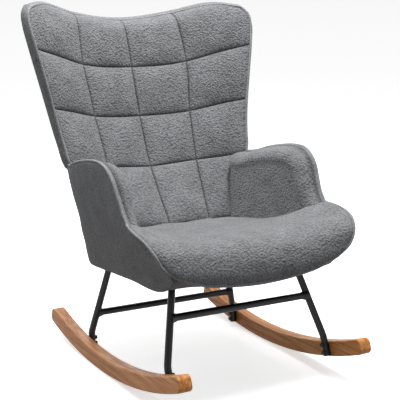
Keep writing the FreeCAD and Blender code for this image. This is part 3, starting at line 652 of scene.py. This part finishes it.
class Wardrobe:
    """The chair's materials, each made once."""

    def __init__(self) -> None:
        """Makes every material."""
        self.materials = {finish: recipe.build() for finish, recipe in RECIPES.items()}

    def dress(self, piece: bpy.types.Object, finish: Finish, *nodes: str, fill: float | None = None) -> None:
        """Args:
            piece: The new object, in its place.
            finish: Its finish.
            nodes: The CAD nodes that it stands for.
            fill: How full a padded piece is, from 0 to 1; not used.
        """
        piece.data.materials.clear()
        piece.data.materials.append(self.materials[finish])
        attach(piece, "root")
        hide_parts(*nodes)
        LOG.info("%s: %d faces for %s", piece.name, len(piece.data.polygons), ", ".join(nodes))

    def dress_cad(self, nodes: dict[str, bpy.types.Object]) -> None:
        """Gives every CAD node the finish that its name calls for, and the rest the frame's wood."""
        for name, node in nodes.items():
            found = [finish for finish, words in CAD_FINISHES.items() if any(word in name for word in words)]
            finish = found[-1] if found else Finish.FRAME
            node.data.materials.clear()
            node.data.materials.append(self.materials[finish])


# ---------------------------------------------------------------- the back


@dataclass
class Back:
    """The high wing back: a button-free quilted cushion, its boxed shell and its welt.

    The shell is one surface over (x, height), and reach = middle(height) - curve(height) * x^2 in front
    and the same with other tables behind. Lengths are in mm.
    """

    heights: Row = (255, 362, 440, 520, 660, 800, 930, 1010)
    front_middle: Row = (44, 102, 166, 224, 291, 341, 388, 416)
    rear_middle: Row = (180, 222, 262, 306, 372, 422, 462, 488)
    front_curve: Row = (0.0, 0.0, 0.0006, 0.0011, 0.0012, 0.00122, 0.00117, 0.00112)
    rear_curve: Row = (0.0001, 0.0005, 0.0010, 0.00145, 0.0015, 0.0014, 0.00132, 0.00125)
    edge_thickness: float = 45.0
    # The four seams that one half of the quilting hangs on, the other half being its mirror image:
    # (up, half width, height), where up is 0 at the seat, 1 at the crest and a quarter more at each
    # cross seam.
    middle_seam: Table = (
        (-0.25, 0, 257), (0, 0, 359), (0.25, 0, 514), (0.5, 0, 659), (0.75, 0, 804), (1, 0, 943),
    )
    long_seam: Table = (
        (-0.25, 118, 257), (0, 135, 360), (0.25, 148, 525.5), (0.5, 159.5, 669), (0.75, 173, 818),
        (1, 166, 963),
    )
    wing_middle: Table = (
        (-0.25, 184, 257), (0, 186, 361), (0.25, 232, 535), (0.5, 258, 692), (0.75, 281, 850), (1, 287, 991),
    )
    wing_edge: Table = (
        (-0.25, 213, 257), (0, 213, 361), (0.1, 222, 434), (0.18, 238, 492), (0.22, 262, 521),
        (0.25, 287, 545), (0.28, 295, 567), (0.32, 299, 595), (0.4, 307, 643), (0.5, 318, 706),
        (0.625, 334, 790), (0.75, 351, 870), (0.88, 361.5, 936), (0.96, 357, 968), (1, 345, 983),
    )
    cross_seams: Row = (0.25, 0.5, 0.75)  # in up
    long_seams: Row = (-0.5, 0.0, 0.5)  # in across
    puff: float = 16.0
    groove: float = 3.0
    groove_width: float = 1.7
    # width in mm of the painted shade along the cushion's sides and crest
    rim_shade_width: float = 4.0
    crest_roll: float = 34.0
    wing_half: float = 345.0  # half width at which the crest no longer rolls
    wing_ease: float = 180.0
    cushion_depth: float = 24.0
    cushion_round: float = 30.0
    cover_gap: float = 4.0  # between the cushion's back and the cover
    # Where along the edge's thickness the cover's band runs, and how far it stands out there.
    band: Table = (
        (0.03, 3.5), (0.12, 6.5), (0.3, 8.5), (0.5, 9.0), (0.7, 8.0), (0.86, 5.5), (0.95, 2.0),
    )
    crown: float = 4.0
    crown_round: float = 24.0
    welt_radius: float = 4.0

    def front(self, x: Array, height: Array) -> Array:
        """Reach of the front surface at its seams."""
        middle = hermite(self.heights, self.front_middle, height)
        return middle - hermite(self.heights, self.front_curve, height) * x * x

    def rear(self, x: Array, height: Array) -> Array:
        """Reach of the rear surface, never closer to the front than the edge's thickness."""
        middle = hermite(self.heights, self.rear_middle, height)
        far = middle - hermite(self.heights, self.rear_curve, height) * x * x
        return np.maximum(far, self.front(x, height) + self.edge_thickness)

    def net(self, up: Array, across: Array) -> Array:
        """Plan of the quilting: (x, height) for each up and across, where across is -1 to 1.

        Each seam is a smooth curve of up, and every row is a smooth curve through the seven seams.

        Args:
            up: Parameters of the rows, 0 at the seat and 1 at the crest.
            across: Parameters of the columns, -1 to 1.

        Returns:
            A grid of (x, height) in mm.
        """
        seams = []
        for table in (self.middle_seam, self.long_seam, self.wing_middle, self.wing_edge):
            rows = np.array(table)
            seams.append(hermite(rows[:, 0], rows[:, 1:], up))
        mirror = [seam * np.array([-1.0, 1.0]) for seam in seams[:0:-1]]
        knots = [-1, -0.8, -0.5, 0, 0.5, 0.8, 1]
        return hermite(knots, np.stack(mirror + seams), across).transpose(1, 0, 2)

    def shell_grid(self, up: Array, across: Array) -> tuple[Array, Array]:
        """Front and rear surface points over the net, with the front rolled back at the crest.

        In the last crest_roll mm under the crest the front goes back along a quarter circle, less and
        less towards the wings.

        Args:
            up: Parameters of the rows, as for the net.
            across: Parameters of the columns.

        Returns:
            The front grid and the rear grid.
        """
        plan = self.net(up, across)
        x, height = plan[..., 0], plan[..., 1]
        below = height[-1:] - height
        share = np.clip(1 - below / self.crest_roll, 0, 1)
        ease = eased(np.clip((self.wing_half - np.abs(x)) / self.wing_ease, 0, 1))
        roll = self.crest_roll * (1 - np.sqrt(1 - np.minimum(share, 0.999) ** 2)) * ease
        front = np.stack([x, self.front(x, height) + roll, height], axis=-1)
        rear = np.stack([x, self.rear(x, height), height], axis=-1)
        return front, rear

    def make_cushion(self) -> bpy.types.Object:
        """The quilted front cushion.

        Every quilted field stands proud of its seams by puff * (4 s (1 - s))^0.6 * (4 t (1 - t))^0.6,
        s and t running 0 to 1 across it, so that the cloth dives steeply into each seam.

        Returns:
            The cushion.
        """
        across = crowded([-1, *self.long_seams, 1], 20)
        up = crowded([0, *self.cross_seams, 1], 20)
        base, _ = self.shell_grid(up, across)
        outward = normals(base, np.array([0.0, -1.0, 0.1]))
        s, t = (across * 2) % 1.0, (up * 4) % 1.0
        pillow = (4 * s * (1 - s))[None, :] ** 0.6 * (4 * t * (1 - t))[:, None] ** 0.6
        dents = 1 + 0.10 * ripple(base, 95.0, SEED) + 0.06 * ripple(base, 42.0, SEED + 1)
        left, right, low, high = edges(base)
        columns = [int(np.argmin(np.abs(across - seam))) for seam in self.long_seams]
        rows = [int(np.argmin(np.abs(up - seam))) for seam in self.cross_seams]
        aside = np.min([np.abs(left - left[:, column : column + 1]) for column in columns], axis=0)
        above = np.min([np.abs(low - low[row : row + 1]) for row in rows], axis=0)
        stitched = crease(np.minimum(aside, above), self.groove_width)
        # rim is painted shade along the cushion's sides and crest
        rim = crease(np.minimum(np.minimum(left, right), high), self.rim_shade_width)
        face = base + outward * (self.puff * pillow * dents - self.groove * stitched)[..., None]
        back = base - outward * (self.cushion_depth * domed(base, self.cushion_round))[..., None]
        # Painted shade: 0.6 deep in the stitched grooves, which are also cut into the geometry, and 0.5 along
        # the rim.
        shade = np.maximum(0.6 * stitched, 0.5 * rim)
        return boxed("back_cushion_quilted", pinned(face, base), [], back, shade)

    def make_shell(self) -> bpy.types.Object:
        """The boxed shell: its band bulges round the edge of a smooth, slightly crowned rear panel.

        Returns:
            The shell.
        """
        across = crowded([-1, 0, 1], 26)
        up = crowded([-0.25, 0.3, 1], 26)
        front, rear = self.shell_grid(up, across)
        outward = normals(front, np.array([0.0, -1.0, 0.1]))
        depth = (self.cushion_depth + self.cover_gap) * domed(front, self.cushion_round)
        face = front - outward * depth[..., None]
        near, far = border(front), border(rear)
        run = np.roll(near, -1, axis=0) - np.roll(near, 1, axis=0)
        side = unit(np.stack([run[:, 2], np.zeros(len(run)), -run[:, 0]], axis=1))
        side = turned(side, near - near.mean(axis=0))
        rings = [near + (far - near) * share + side * proud for share, proud in self.band]
        crown = self.crown * domed(rear, self.crown_round) * (1 + 0.3 * ripple(rear, 160.0, SEED + 2))
        rear = rear + normals(rear, np.array([0.0, 1.0, 0.1])) * crown[..., None]
        return boxed("back_shell_cover", face, rings, rear)

    def make_welt(self) -> bpy.types.Object:
        """The welt round the wings and behind the crest, from arm to arm."""
        base, _ = self.shell_grid(np.linspace(0.24, 1.0, 90), np.linspace(-1, 1, 161))
        path = np.concatenate([base[:-1, 0], base[-1, :-1], base[::-1, -1]])
        path = path + np.array([0.0, 0.5, 0.6])
        return tube("back_welt", through(path[::3], 360), self.welt_radius)

    def build(self, wardrobe: Wardrobe) -> None:
        """Makes and dresses the back's pieces."""
        wardrobe.dress(self.make_cushion(), Finish.BOUCLE, "back_cushion", fill=0.75)
        wardrobe.dress(self.make_shell(), Finish.OUTER, "back_rear_cover", fill=0.9)
        wardrobe.dress(self.make_welt(), Finish.PIPING, "back_piping")


# ---------------------------------------------------------------- the tub


@dataclass
class Tub:
    """The tub: outer side panels, padded arms and their welts, each made once for a side."""

    heights: Row = (250, 330, 400, 455, 530, 605)
    half: Row = (240, 267, 286, 301, 311, 319)
    half_front: Row = (222, 240, 289, 313, 318, 325)
    rear_reach: Row = (193, 212, 243, 270, 308, 336)
    squareness: Row = (6.0, 3.6, 2.8, 2.6, 2.6, 2.6)
    inner_heights: Row = (250, 360, 455, 540, 605)
    inner_rear: Row = (208, 211, 231, 247, 252)
    inner_front: Row = (256, 262, 265, 265, 265)
    seam_half_width: float = 214.0
    lower_edge: Table = (
        (-393, 366), (-386, 341), (-372, 322), (-338, 301), (-150, 284.7), (95, 263.4), (340, 242),
    )
    upper_edge: Table = (
        (-393, 366), (-388, 392), (-371, 420), (-333, 440), (-250, 452), (-226, 480), (-204, 520),
        (-188, 550), (-164, 574), (-128, 590), (-92, 592), (-20, 584), (53, 569), (110, 552),
        (170, 547), (340, 547),
    )
    seat_side: Table = (
        (-262, 446), (-190, 420), (-100, 388), (0, 366), (98, 356), (170, 352),
    )
    nose: float = -393.0
    nose_length: float = 40.0
    tail_start: float = -100.0
    full_rear: float = 268.0
    panel_thickness: float = 12.0
    panel_round: float = 14.0
    arm_round: float = 46.0
    arm_crown: float = 7.0
    arm_rear: float = 177.0
    welt_radius: float = 4.0

    def edge(self, table: Table, reach: Array) -> Array:
        """Height of an edge of the side view at a reach."""
        rows = np.array(table)
        return hermite(rows[:, 0], rows[:, 1], reach)

    def outer(self, reach: Array, height: Array) -> Array:
        """Half width of the outer wall.

        In front it eases from the front half width to the full one; behind the middle it is the
        superellipse half * (1 - (reach / rear)^n)^(1/n).

        Args:
            reach: Reaches in mm.
            height: Heights in mm.

        Returns:
            The half widths in mm.
        """
        level = np.clip(height, self.heights[0], self.heights[-1])
        half, front, rear, power = (
            straight(self.heights, row, level)
            for row in (self.half, self.half_front, self.rear_reach, self.squareness)
        )
        ahead = np.clip((-reach - 140) / 260, 0, 1)
        ahead = ahead**1.6 * (1.6 - 0.6 * ahead)
        behind = np.clip(reach / rear, 0, 0.999)
        return np.where(reach < 0, half + (front - half) * ahead, half * (1 - behind**power) ** (1 / power))

    def inner(self, reach: Array, height: Array) -> Array:
        """Half width between the arms, straight from the rear end to the front one."""
        level = np.clip(height, self.inner_heights[0], self.inner_heights[-1])
        rear = straight(self.inner_heights, self.inner_rear, level)
        front = straight(self.inner_heights, self.inner_front, level)
        return rear + (front - rear) * np.clip((165 - reach) / 410, 0, 1)

    def make_panel(self, side: str, sign: float) -> bpy.types.Object:
        """One outer side panel: the wall's surface between its lower and upper edge.

        A point is outer(reach, height) wide, with height = lower + (upper - lower) * t, and the panel is
        carried inwards by its thickness, with soft edges. Behind the start of its tail the reach is
        scaled so that the panel ends where the wall meets the back's seam.

        Args:
            side: left or right.
            sign: 1 for left, -1 for right.

        Returns:
            The panel.
        """
        t = crowded([0, 1], 34)
        nose = self.nose + self.nose_length * crowded([0, 1], 14)[:-1]
        reach = np.concatenate([nose, np.linspace(self.nose + self.nose_length, self.full_rear, 96)])
        reach = np.repeat(reach[:, None], len(t), axis=1)
        last = self.rear_limit(self.level(reach, t))
        scale = (last - self.tail_start) / (self.full_rear - self.tail_start)
        tail = self.tail_start + (reach - self.tail_start) * scale
        reach = np.where(reach > self.tail_start, tail, reach)
        height = self.level(reach, t)
        wall = np.stack([sign * self.outer(reach, height), reach, height], axis=-1)
        outward = normals(wall, np.array([sign, 0.0, 0.0]))
        edge = np.min(edges(wall), axis=0)
        soft = rounded(edge, self.panel_round)
        swell = 4.0 * soft - 1.5 + 1.2 * soft * ripple(wall, 130.0, SEED + 3)
        face = wall + outward * swell[..., None]
        back = wall - outward * self.panel_thickness
        middle = wall - outward * self.panel_thickness / 2
        rim = border(wall)
        run = np.roll(rim, -1, axis=0) - np.roll(rim, 1, axis=0)
        lift = turned(unit(np.cross(run, border(outward))), rim - wall.reshape(-1, 3).mean(axis=0))
        ring = border(middle) + lift * 1.5
        # The panel's edges take painted shade, up to 0.4, within about 3 mm.
        return boxed(f"{side}_outer_panel", face, [ring], back, 0.4 * crease(edge, 3.0))

    def level(self, reach: Array, t: Array) -> Array:
        """Height at a share t of the way from the panel's lower to its upper edge."""
        low, high = self.edge(self.lower_edge, reach), self.edge(self.upper_edge, reach)
        return low + (high - low) * t[None, :]

    def rear_limit(self, height: Array) -> Array:
        """Reach at which the outer wall is as narrow as the back's seam, at a height."""
        level = np.clip(height, self.heights[0], self.heights[-1])
        tables = (self.half, self.rear_reach, self.squareness)
        half, rear, power = (straight(self.heights, row, level) for row in tables)
        return rear * (1 - (np.minimum(self.seam_half_width, half - 4) / half) ** power) ** (1 / power)

    def arm_line(self, count: int) -> Array:
        """The arm's top in the side view, evenly spaced (reach, height) from front to rear."""
        rows = np.array([row for row in self.upper_edge if -251 < row[0] < 171] + [(190, 547)])
        line = through(rows, count)
        return line[line[:, 0] <= self.arm_rear]

    def make_arm(self, side: str, sign: float) -> bpy.types.Object:
        """One padded arm: its inner face and the roll that carries it to the welt on its outer edge.

        With e the distance from the arm's top line, the face is at outer - (outer - inner) * q(e), where
        q rises as a quarter circle over arm_round, and it swells by arm_crown * sin(pi * e / arm_round).

        Args:
            side: left or right.
            sign: 1 for left, -1 for right.

        Returns:
            The arm.
        """
        top = self.arm_line(150)
        seat = np.array(self.seat_side)
        base_reach = np.linspace(-258, self.arm_rear, len(top))
        base = np.stack([base_reach, hermite(seat[:, 0], seat[:, 1], base_reach) - 22], axis=1)
        t = crowded([0, 1], 44)
        flat = base[:, None] + (top - base)[:, None] * t[None, :, None]
        line = np.concatenate([top, [[self.arm_rear + 60, top[-1, 1]]]])
        line = np.concatenate([[[-252.0, 380.0]], line])
        away = nearest(flat, line)
        reach, height = flat[..., 0], flat[..., 1]
        outside = self.outer(reach, height) - self.panel_thickness + 6
        inside = np.minimum(self.inner(reach, height), outside - 18)
        roll = rounded(away, self.arm_round)
        tail = rounded(self.arm_rear - reach, 16.0)
        width = (outside - inside) * roll * tail
        face = np.stack([sign * (outside - width), reach, height], axis=-1)
        outward = normals(face, np.array([-sign, -0.3, 0.5]))
        swell = self.arm_crown * np.sin(np.pi * np.clip(away / self.arm_round, 0, 1)) ** 0.8
        belly = 3.0 * rounded(away - self.arm_round * 0.6, 80.0)
        wave = 1 + 0.25 * ripple(face, 70.0, SEED + 4)
        lift = (swell + belly) * wave * rounded(self.arm_rear - reach, 20.0)
        back = np.stack([sign * outside, reach, height], axis=-1)
        face = pinned(face + outward * lift[..., None], back)
        # shade is painted shade along the arm's top line and its rear end, up to 0.6.
        shade = crease(np.minimum(away, self.arm_rear - reach), 3.5)
        return boxed(f"{side}_arm_padded", face, [], back, 0.6 * shade)

    def make_welt(self, side: str, sign: float) -> bpy.types.Object:
        """The welt between an arm and its outer panel, down to the seat's corner."""
        line = self.arm_line(120)
        half = self.outer(line[:, 0], line[:, 1])
        path = np.stack([sign * (half - 3.0), line[:, 0], line[:, 1] + 1.5], axis=1)
        return tube(f"{side}_arm_welt", path, self.welt_radius)

    def build(self, wardrobe: Wardrobe) -> None:
        """Makes and dresses the tub's pieces."""
        for side, sign in SIDES.items():
            wardrobe.dress(self.make_panel(side, sign), Finish.OUTER, f"{side}_arm_outer_panel")
            wardrobe.dress(self.make_arm(side, sign), Finish.BOUCLE, f"{side}_arm_pad", fill=0.85)
            wardrobe.dress(self.make_welt(side, sign), Finish.PIPING, f"{side}_arm_piping")


# ---------------------------------------------------------------- the seat


@dataclass
class Seat:
    """The seat: one cushion dished between the arms that rolls over its front edge in a bolster."""

    # Rows from the back's foot to the front lip:
    # (along, half width, reach in the middle, reach at the sides, height in the middle, at the sides)
    rows: Table = (
        (0.00, 211, 112, 112, 352, 352),
        (0.10, 222, 50, 50, 358, 360),
        (0.26, 240, -60, -50, 363, 378),
        (0.42, 256, -160, -150, 377, 407),
        (0.54, 276, -222, -218, 391, 438),
        (0.62, 303, -262, -254, 400, 456),
        (0.70, 313, -305, -311, 405, 449),
        (0.77, 308, -345, -357, 402, 433),
        (0.84, 296, -378, -386, 385, 408),
        (0.90, 281, -396, -394, 359, 378),
        (0.95, 264, -402, -397, 331, 361),
        (1.00, 246, -397, -397, 303, 349),
    )
    dish: float = 2.6
    lining_x: Row = (-212, -156, 156, 212)
    lining_reach: Row = (-335, -305, -239, 72, 138, 167.5)
    lining_front: float = 300.6
    lining_slope: float = 0.0857
    lining_sag: float = 3.0
    depth: float = 26.0
    lip_round: float = 26.0
    lip_swell: float = 7.0
    apron_half: float = 236.0
    apron_front: float = -396.0
    apron_rear: Row = (-338.0, 300.5)  # (reach, height) at the frame's front rail
    welt_radius: float = 4.0
    welt_points: Table = (
        (0, -398, 302), (90, -398, 307), (176, -398, 321), (246, -398, 349), (279, -396, 374),
        (295, -389, 404), (308, -360, 432), (313, -311, 447), (304, -252, 455),
    )

    def surface(self, along: Array, across: Array) -> Array:
        """The seat's seam-level surface.

        Each row's height and reach go from the middle's to the sides' value with |across|^dish.

        Args:
            along: Parameters of the rows, 0 at the back's foot and 1 at the lip.
            across: Parameters of the columns, -1 to 1.

        Returns:
            A grid of (x, reach, height) in mm.
        """
        table = np.array(self.rows)
        row = hermite(table[:, 0], table[:, 1:], along)[:, None, :]
        share = np.abs(across)[None, :] ** self.dish
        x = row[..., 0] * across[None, :]
        reach = row[..., 1] + (row[..., 2] - row[..., 1]) * share
        height = row[..., 3] + (row[..., 4] - row[..., 3]) * share
        return np.stack([x, reach, height], axis=-1)

    def make_cushion(self) -> bpy.types.Object:
        """The seat cushion: its surface swells away from the welt and is closed by a hidden sole."""
        along = np.concatenate([np.linspace(0, 0.6, 52)[:-1], crowded([0.6, 1], 60)])
        across = crowded([-1, -0.5, 0.5, 1], 26)
        base = self.surface(along, across)
        outward = normals(base, np.array([0.0, -0.6, 1.0]))
        left, right, rear, front = edges(base)
        edge = rounded(np.minimum(left, right), self.lip_round) * rounded(front, self.lip_round)
        edge = edge * rounded(rear, 10.0)
        wave = 0.9 + 0.22 * ripple(base, 120.0, SEED + 5) + 0.10 * ripple(base, 46.0, SEED + 6)
        face = base + outward * (self.lip_swell * edge * wave)[..., None]
        sole = base - outward * (self.depth * edge)[..., None]
        # rim is painted shade along the cushion's sides and front lip, up to 0.6.
        rim = crease(np.minimum(np.minimum(left, right), front), 4.0)
        return boxed("seat_cushion_bolster", face, [], sole, 0.6 * rim)

    def make_welt(self) -> bpy.types.Object:
        """The welt round the seat's front, from one arm's foot to the other's."""
        half = np.array(self.welt_points)
        path = np.concatenate([half[:0:-1] * np.array([-1.0, 1.0, 1.0]), half])
        return tube("seat_front_welt", through(path, 260), self.welt_radius)

    def make_apron(self) -> bpy.types.Object:
        """The band of cloth under the seat's lip, from the welt back to the frame's front rail.

        A point is lip(x) + (rim(x) - lip(x)) * s, sagging by 3 mm in the middle, 7 mm thick.

        Returns:
            The apron.
        """
        half = np.array(self.welt_points)[:4]
        x = np.linspace(-self.apron_half, self.apron_half, 61)
        lip_height = hermite(half[:, 0], half[:, 2], np.abs(x)) + 1
        s = crowded([0, 1], 10)
        lip = np.stack([x, np.full_like(x, self.apron_front), lip_height], axis=-1)
        rim = np.stack([x * 0.97, *(np.full_like(x, value) for value in self.apron_rear)], axis=-1)
        face = lip[:, None] + (rim - lip)[:, None] * s[None, :, None]
        face[..., 2] -= 3.0 * np.sin(np.pi * s)[None, :]
        back = face + np.array([0.0, 2.0, 6.0])
        ring = border(face) + np.array([0.0, 0.5, 3.0])
        return boxed("seat_front_apron_cloth", face, [ring], back)

    def make_lining(self) -> bpy.types.Object:
        """The lining stretched under the seat's frame and cut out square round the four leg plates.

        It follows the frame's underside and sags by lining_sag * (1 - (x / half)^2) * 4 s (1 - s), with
        s from 0 at its front edge to 1 at its rear one.

        Returns:
            The lining, 0.9 mm thick.
        """
        each = 8
        x, reach = crowded(self.lining_x, each), crowded(self.lining_reach, each)
        share = (reach - reach[0]) / (reach[-1] - reach[0])
        sag = self.lining_sag * (4 * share * (1 - share))[:, None] * (1 - (x / x[-1]) ** 2)[None, :]
        level = self.lining_front - self.lining_slope * (reach - reach[0])
        grid = np.stack([*np.meshgrid(x, reach), level[:, None] - sag], axis=-1)
        across = np.arange(len(x) - 1) // each
        along = np.arange(len(reach) - 1) // each
        cut = (np.isin(along, (1, 3))[:, None] & np.isin(across, (0, 2))[None, :]).ravel()
        quads = quads_of(np.arange(grid.shape[0] * grid.shape[1]).reshape(grid.shape[:2]))[~cut]
        used, quads = np.unique(quads, return_inverse=True)
        piece = mesh_object("seat_underside_lining", grid.reshape(-1, 3)[used], quads.reshape(-1, 4))
        solid = piece.modifiers.new("thickness", "SOLIDIFY")
        solid.thickness, solid.offset = 0.9 * MM, 0.0
        return piece

    def build(self, wardrobe: Wardrobe) -> None:
        """Makes and dresses the seat's pieces."""
        wardrobe.dress(self.make_cushion(), Finish.BOUCLE, "seat_cushion", fill=0.8)
        wardrobe.dress(self.make_welt(), Finish.PIPING, "seat_front_piping")
        wardrobe.dress(self.make_apron(), Finish.OUTER, "seat_front_apron")
        lining = self.make_lining()
        wardrobe.dress(lining, Finish.LINING, "underside_dust_cover")


# ---------------------------------------------------------------- studio


@dataclass
class Studio:
    """White floor with a cove all round, soft light from above and behind, and the camera."""

    floor_shade: str = "#fbfbfb"
    low_glow: float = 0.12
    high_glow: float = 0.42
    cove_start: float = 10.0
    cove_radius: float = 4.0
    wall: float = 14.0
    wall_height: float = 12.0
    eye: tuple[float, float, float] = (-1.318, -2.399, 0.984)
    heading: float = -29.5  # degrees from +Y, left is positive
    tilt: float = -11.06
    lens: float = 88.95
    lamps: tuple[tuple[str, tuple[float, float, float], float, float], ...] = (
        ("top_softbox", (0.1, 0.0, 3.1), 2.0, 110.0),
        ("rear_softbox", (1.0, 3.8, 2.2), 2.2, 60.0),
    )

    def make_floor(self) -> None:
        """The floor: a disc whose rim bends up in a quarter circle and goes on as a round wall.

        A point is (r(s) cos a, r(s) sin a, z(s)), with the profile (r, z) carried once round the middle.
        """
        bend = np.linspace(0, np.pi / 2, 24)
        reach = np.concatenate([[0.0, 3.0], self.cove_start + self.cove_radius * np.sin(bend), [self.wall]])
        height = np.concatenate([[0.0, 0.0], self.cove_radius * (1 - np.cos(bend)), [self.wall_height]])
        turn = np.linspace(0, 2 * np.pi, 97)
        turn, run = np.meshgrid(turn, reach)
        rise = np.broadcast_to(height[:, None], run.shape)
        points = np.stack([run * np.cos(turn), run * np.sin(turn), rise], axis=-1)
        mesh = bpy.data.meshes.new("studio_floor")
        numbers = np.arange(run.size).reshape(run.shape)
        mesh.from_pydata(points.reshape(-1, 3).tolist(), [], quads_of(numbers).tolist())
        mesh.polygons.foreach_set("use_smooth", np.ones(len(mesh.polygons), bool))
        floor = bpy.data.objects.new("studio_floor", mesh)
        bpy.context.scene.collection.objects.link(floor)
        material, tree, _ = new_material("white seamless paper")
        paper = linear(self.floor_shade)
        glow = {"Emission Color": paper, "Emission Strength": 0.6}
        close(tree, {"Base Color": paper, "Roughness": 0.9, "Specular IOR Level": 0.1, **glow})
        mesh.materials.append(material)
        floor.visible_diffuse = False

    def make_lights(self) -> None:
        """A white surround, brighter above than below, and square softboxes that look at the seat."""
        world = bpy.data.worlds.new("white surround")
        world.use_nodes = True
        tree = world.node_tree
        tree.nodes.clear()
        sky = add(tree, "ShaderNodeTexCoord").outputs["Generated"]
        up = add(tree, "ShaderNodeSeparateXYZ", {"Vector": sky}).outputs["Z"]
        span = {"From Min": -0.3, "From Max": 0.3, "To Min": self.low_glow, "To Max": self.high_glow}
        strength = add(tree, "ShaderNodeMapRange", {"Value": up, **span}).outputs["Result"]
        glow = add(tree, "ShaderNodeBackground", {"Color": linear("#ffffff"), "Strength": strength})
        add(tree, "ShaderNodeOutputWorld", {"Surface": glow.outputs["Background"]})
        bpy.context.scene.world = world
        for name, place, size, power in self.lamps:
            light = bpy.data.lights.new(name, "AREA")
            light.size, light.energy = size, power
            lamp = bpy.data.objects.new(name, light)
            lamp.location = place
            aim = np.array([0.0, 0.0, 0.5]) - np.array(place)
            flat = math.hypot(aim[0], aim[1])
            lamp.rotation_euler = (math.atan2(flat, -aim[2]), 0.0, math.atan2(aim[1], aim[0]) - math.pi / 2)
            bpy.context.scene.collection.objects.link(lamp)

    def make_camera(self) -> None:
        """The camera, at a standing viewer's three-quarter view from the chair's front right."""
        camera = bpy.data.cameras.new("camera")
        camera.lens, camera.sensor_width, camera.clip_end = self.lens, 36.0, 100.0
        holder = bpy.data.objects.new("camera", camera)
        holder.location = self.eye
        holder.rotation_euler = (math.radians(90 + self.tilt), 0.0, math.radians(self.heading))
        bpy.context.scene.collection.objects.link(holder)
        bpy.context.scene.camera = holder
        bpy.context.scene.view_settings.view_transform = "Standard"

    def build(self) -> None:
        """Makes the whole studio."""
        self.make_camera()
        self.make_lights()
        self.make_floor()


def main() -> None:
    """Builds the studio and the chair's pieces."""
    logging.basicConfig(level=logging.INFO, format="%(message)s")
    Studio().build()
    wardrobe = Wardrobe()
    wardrobe.dress_cad(frame["nodes"])
    for part in (Back(), Tub(), Seat()):
        part.build(wardrobe)


if __name__ == "__main__":
    main()
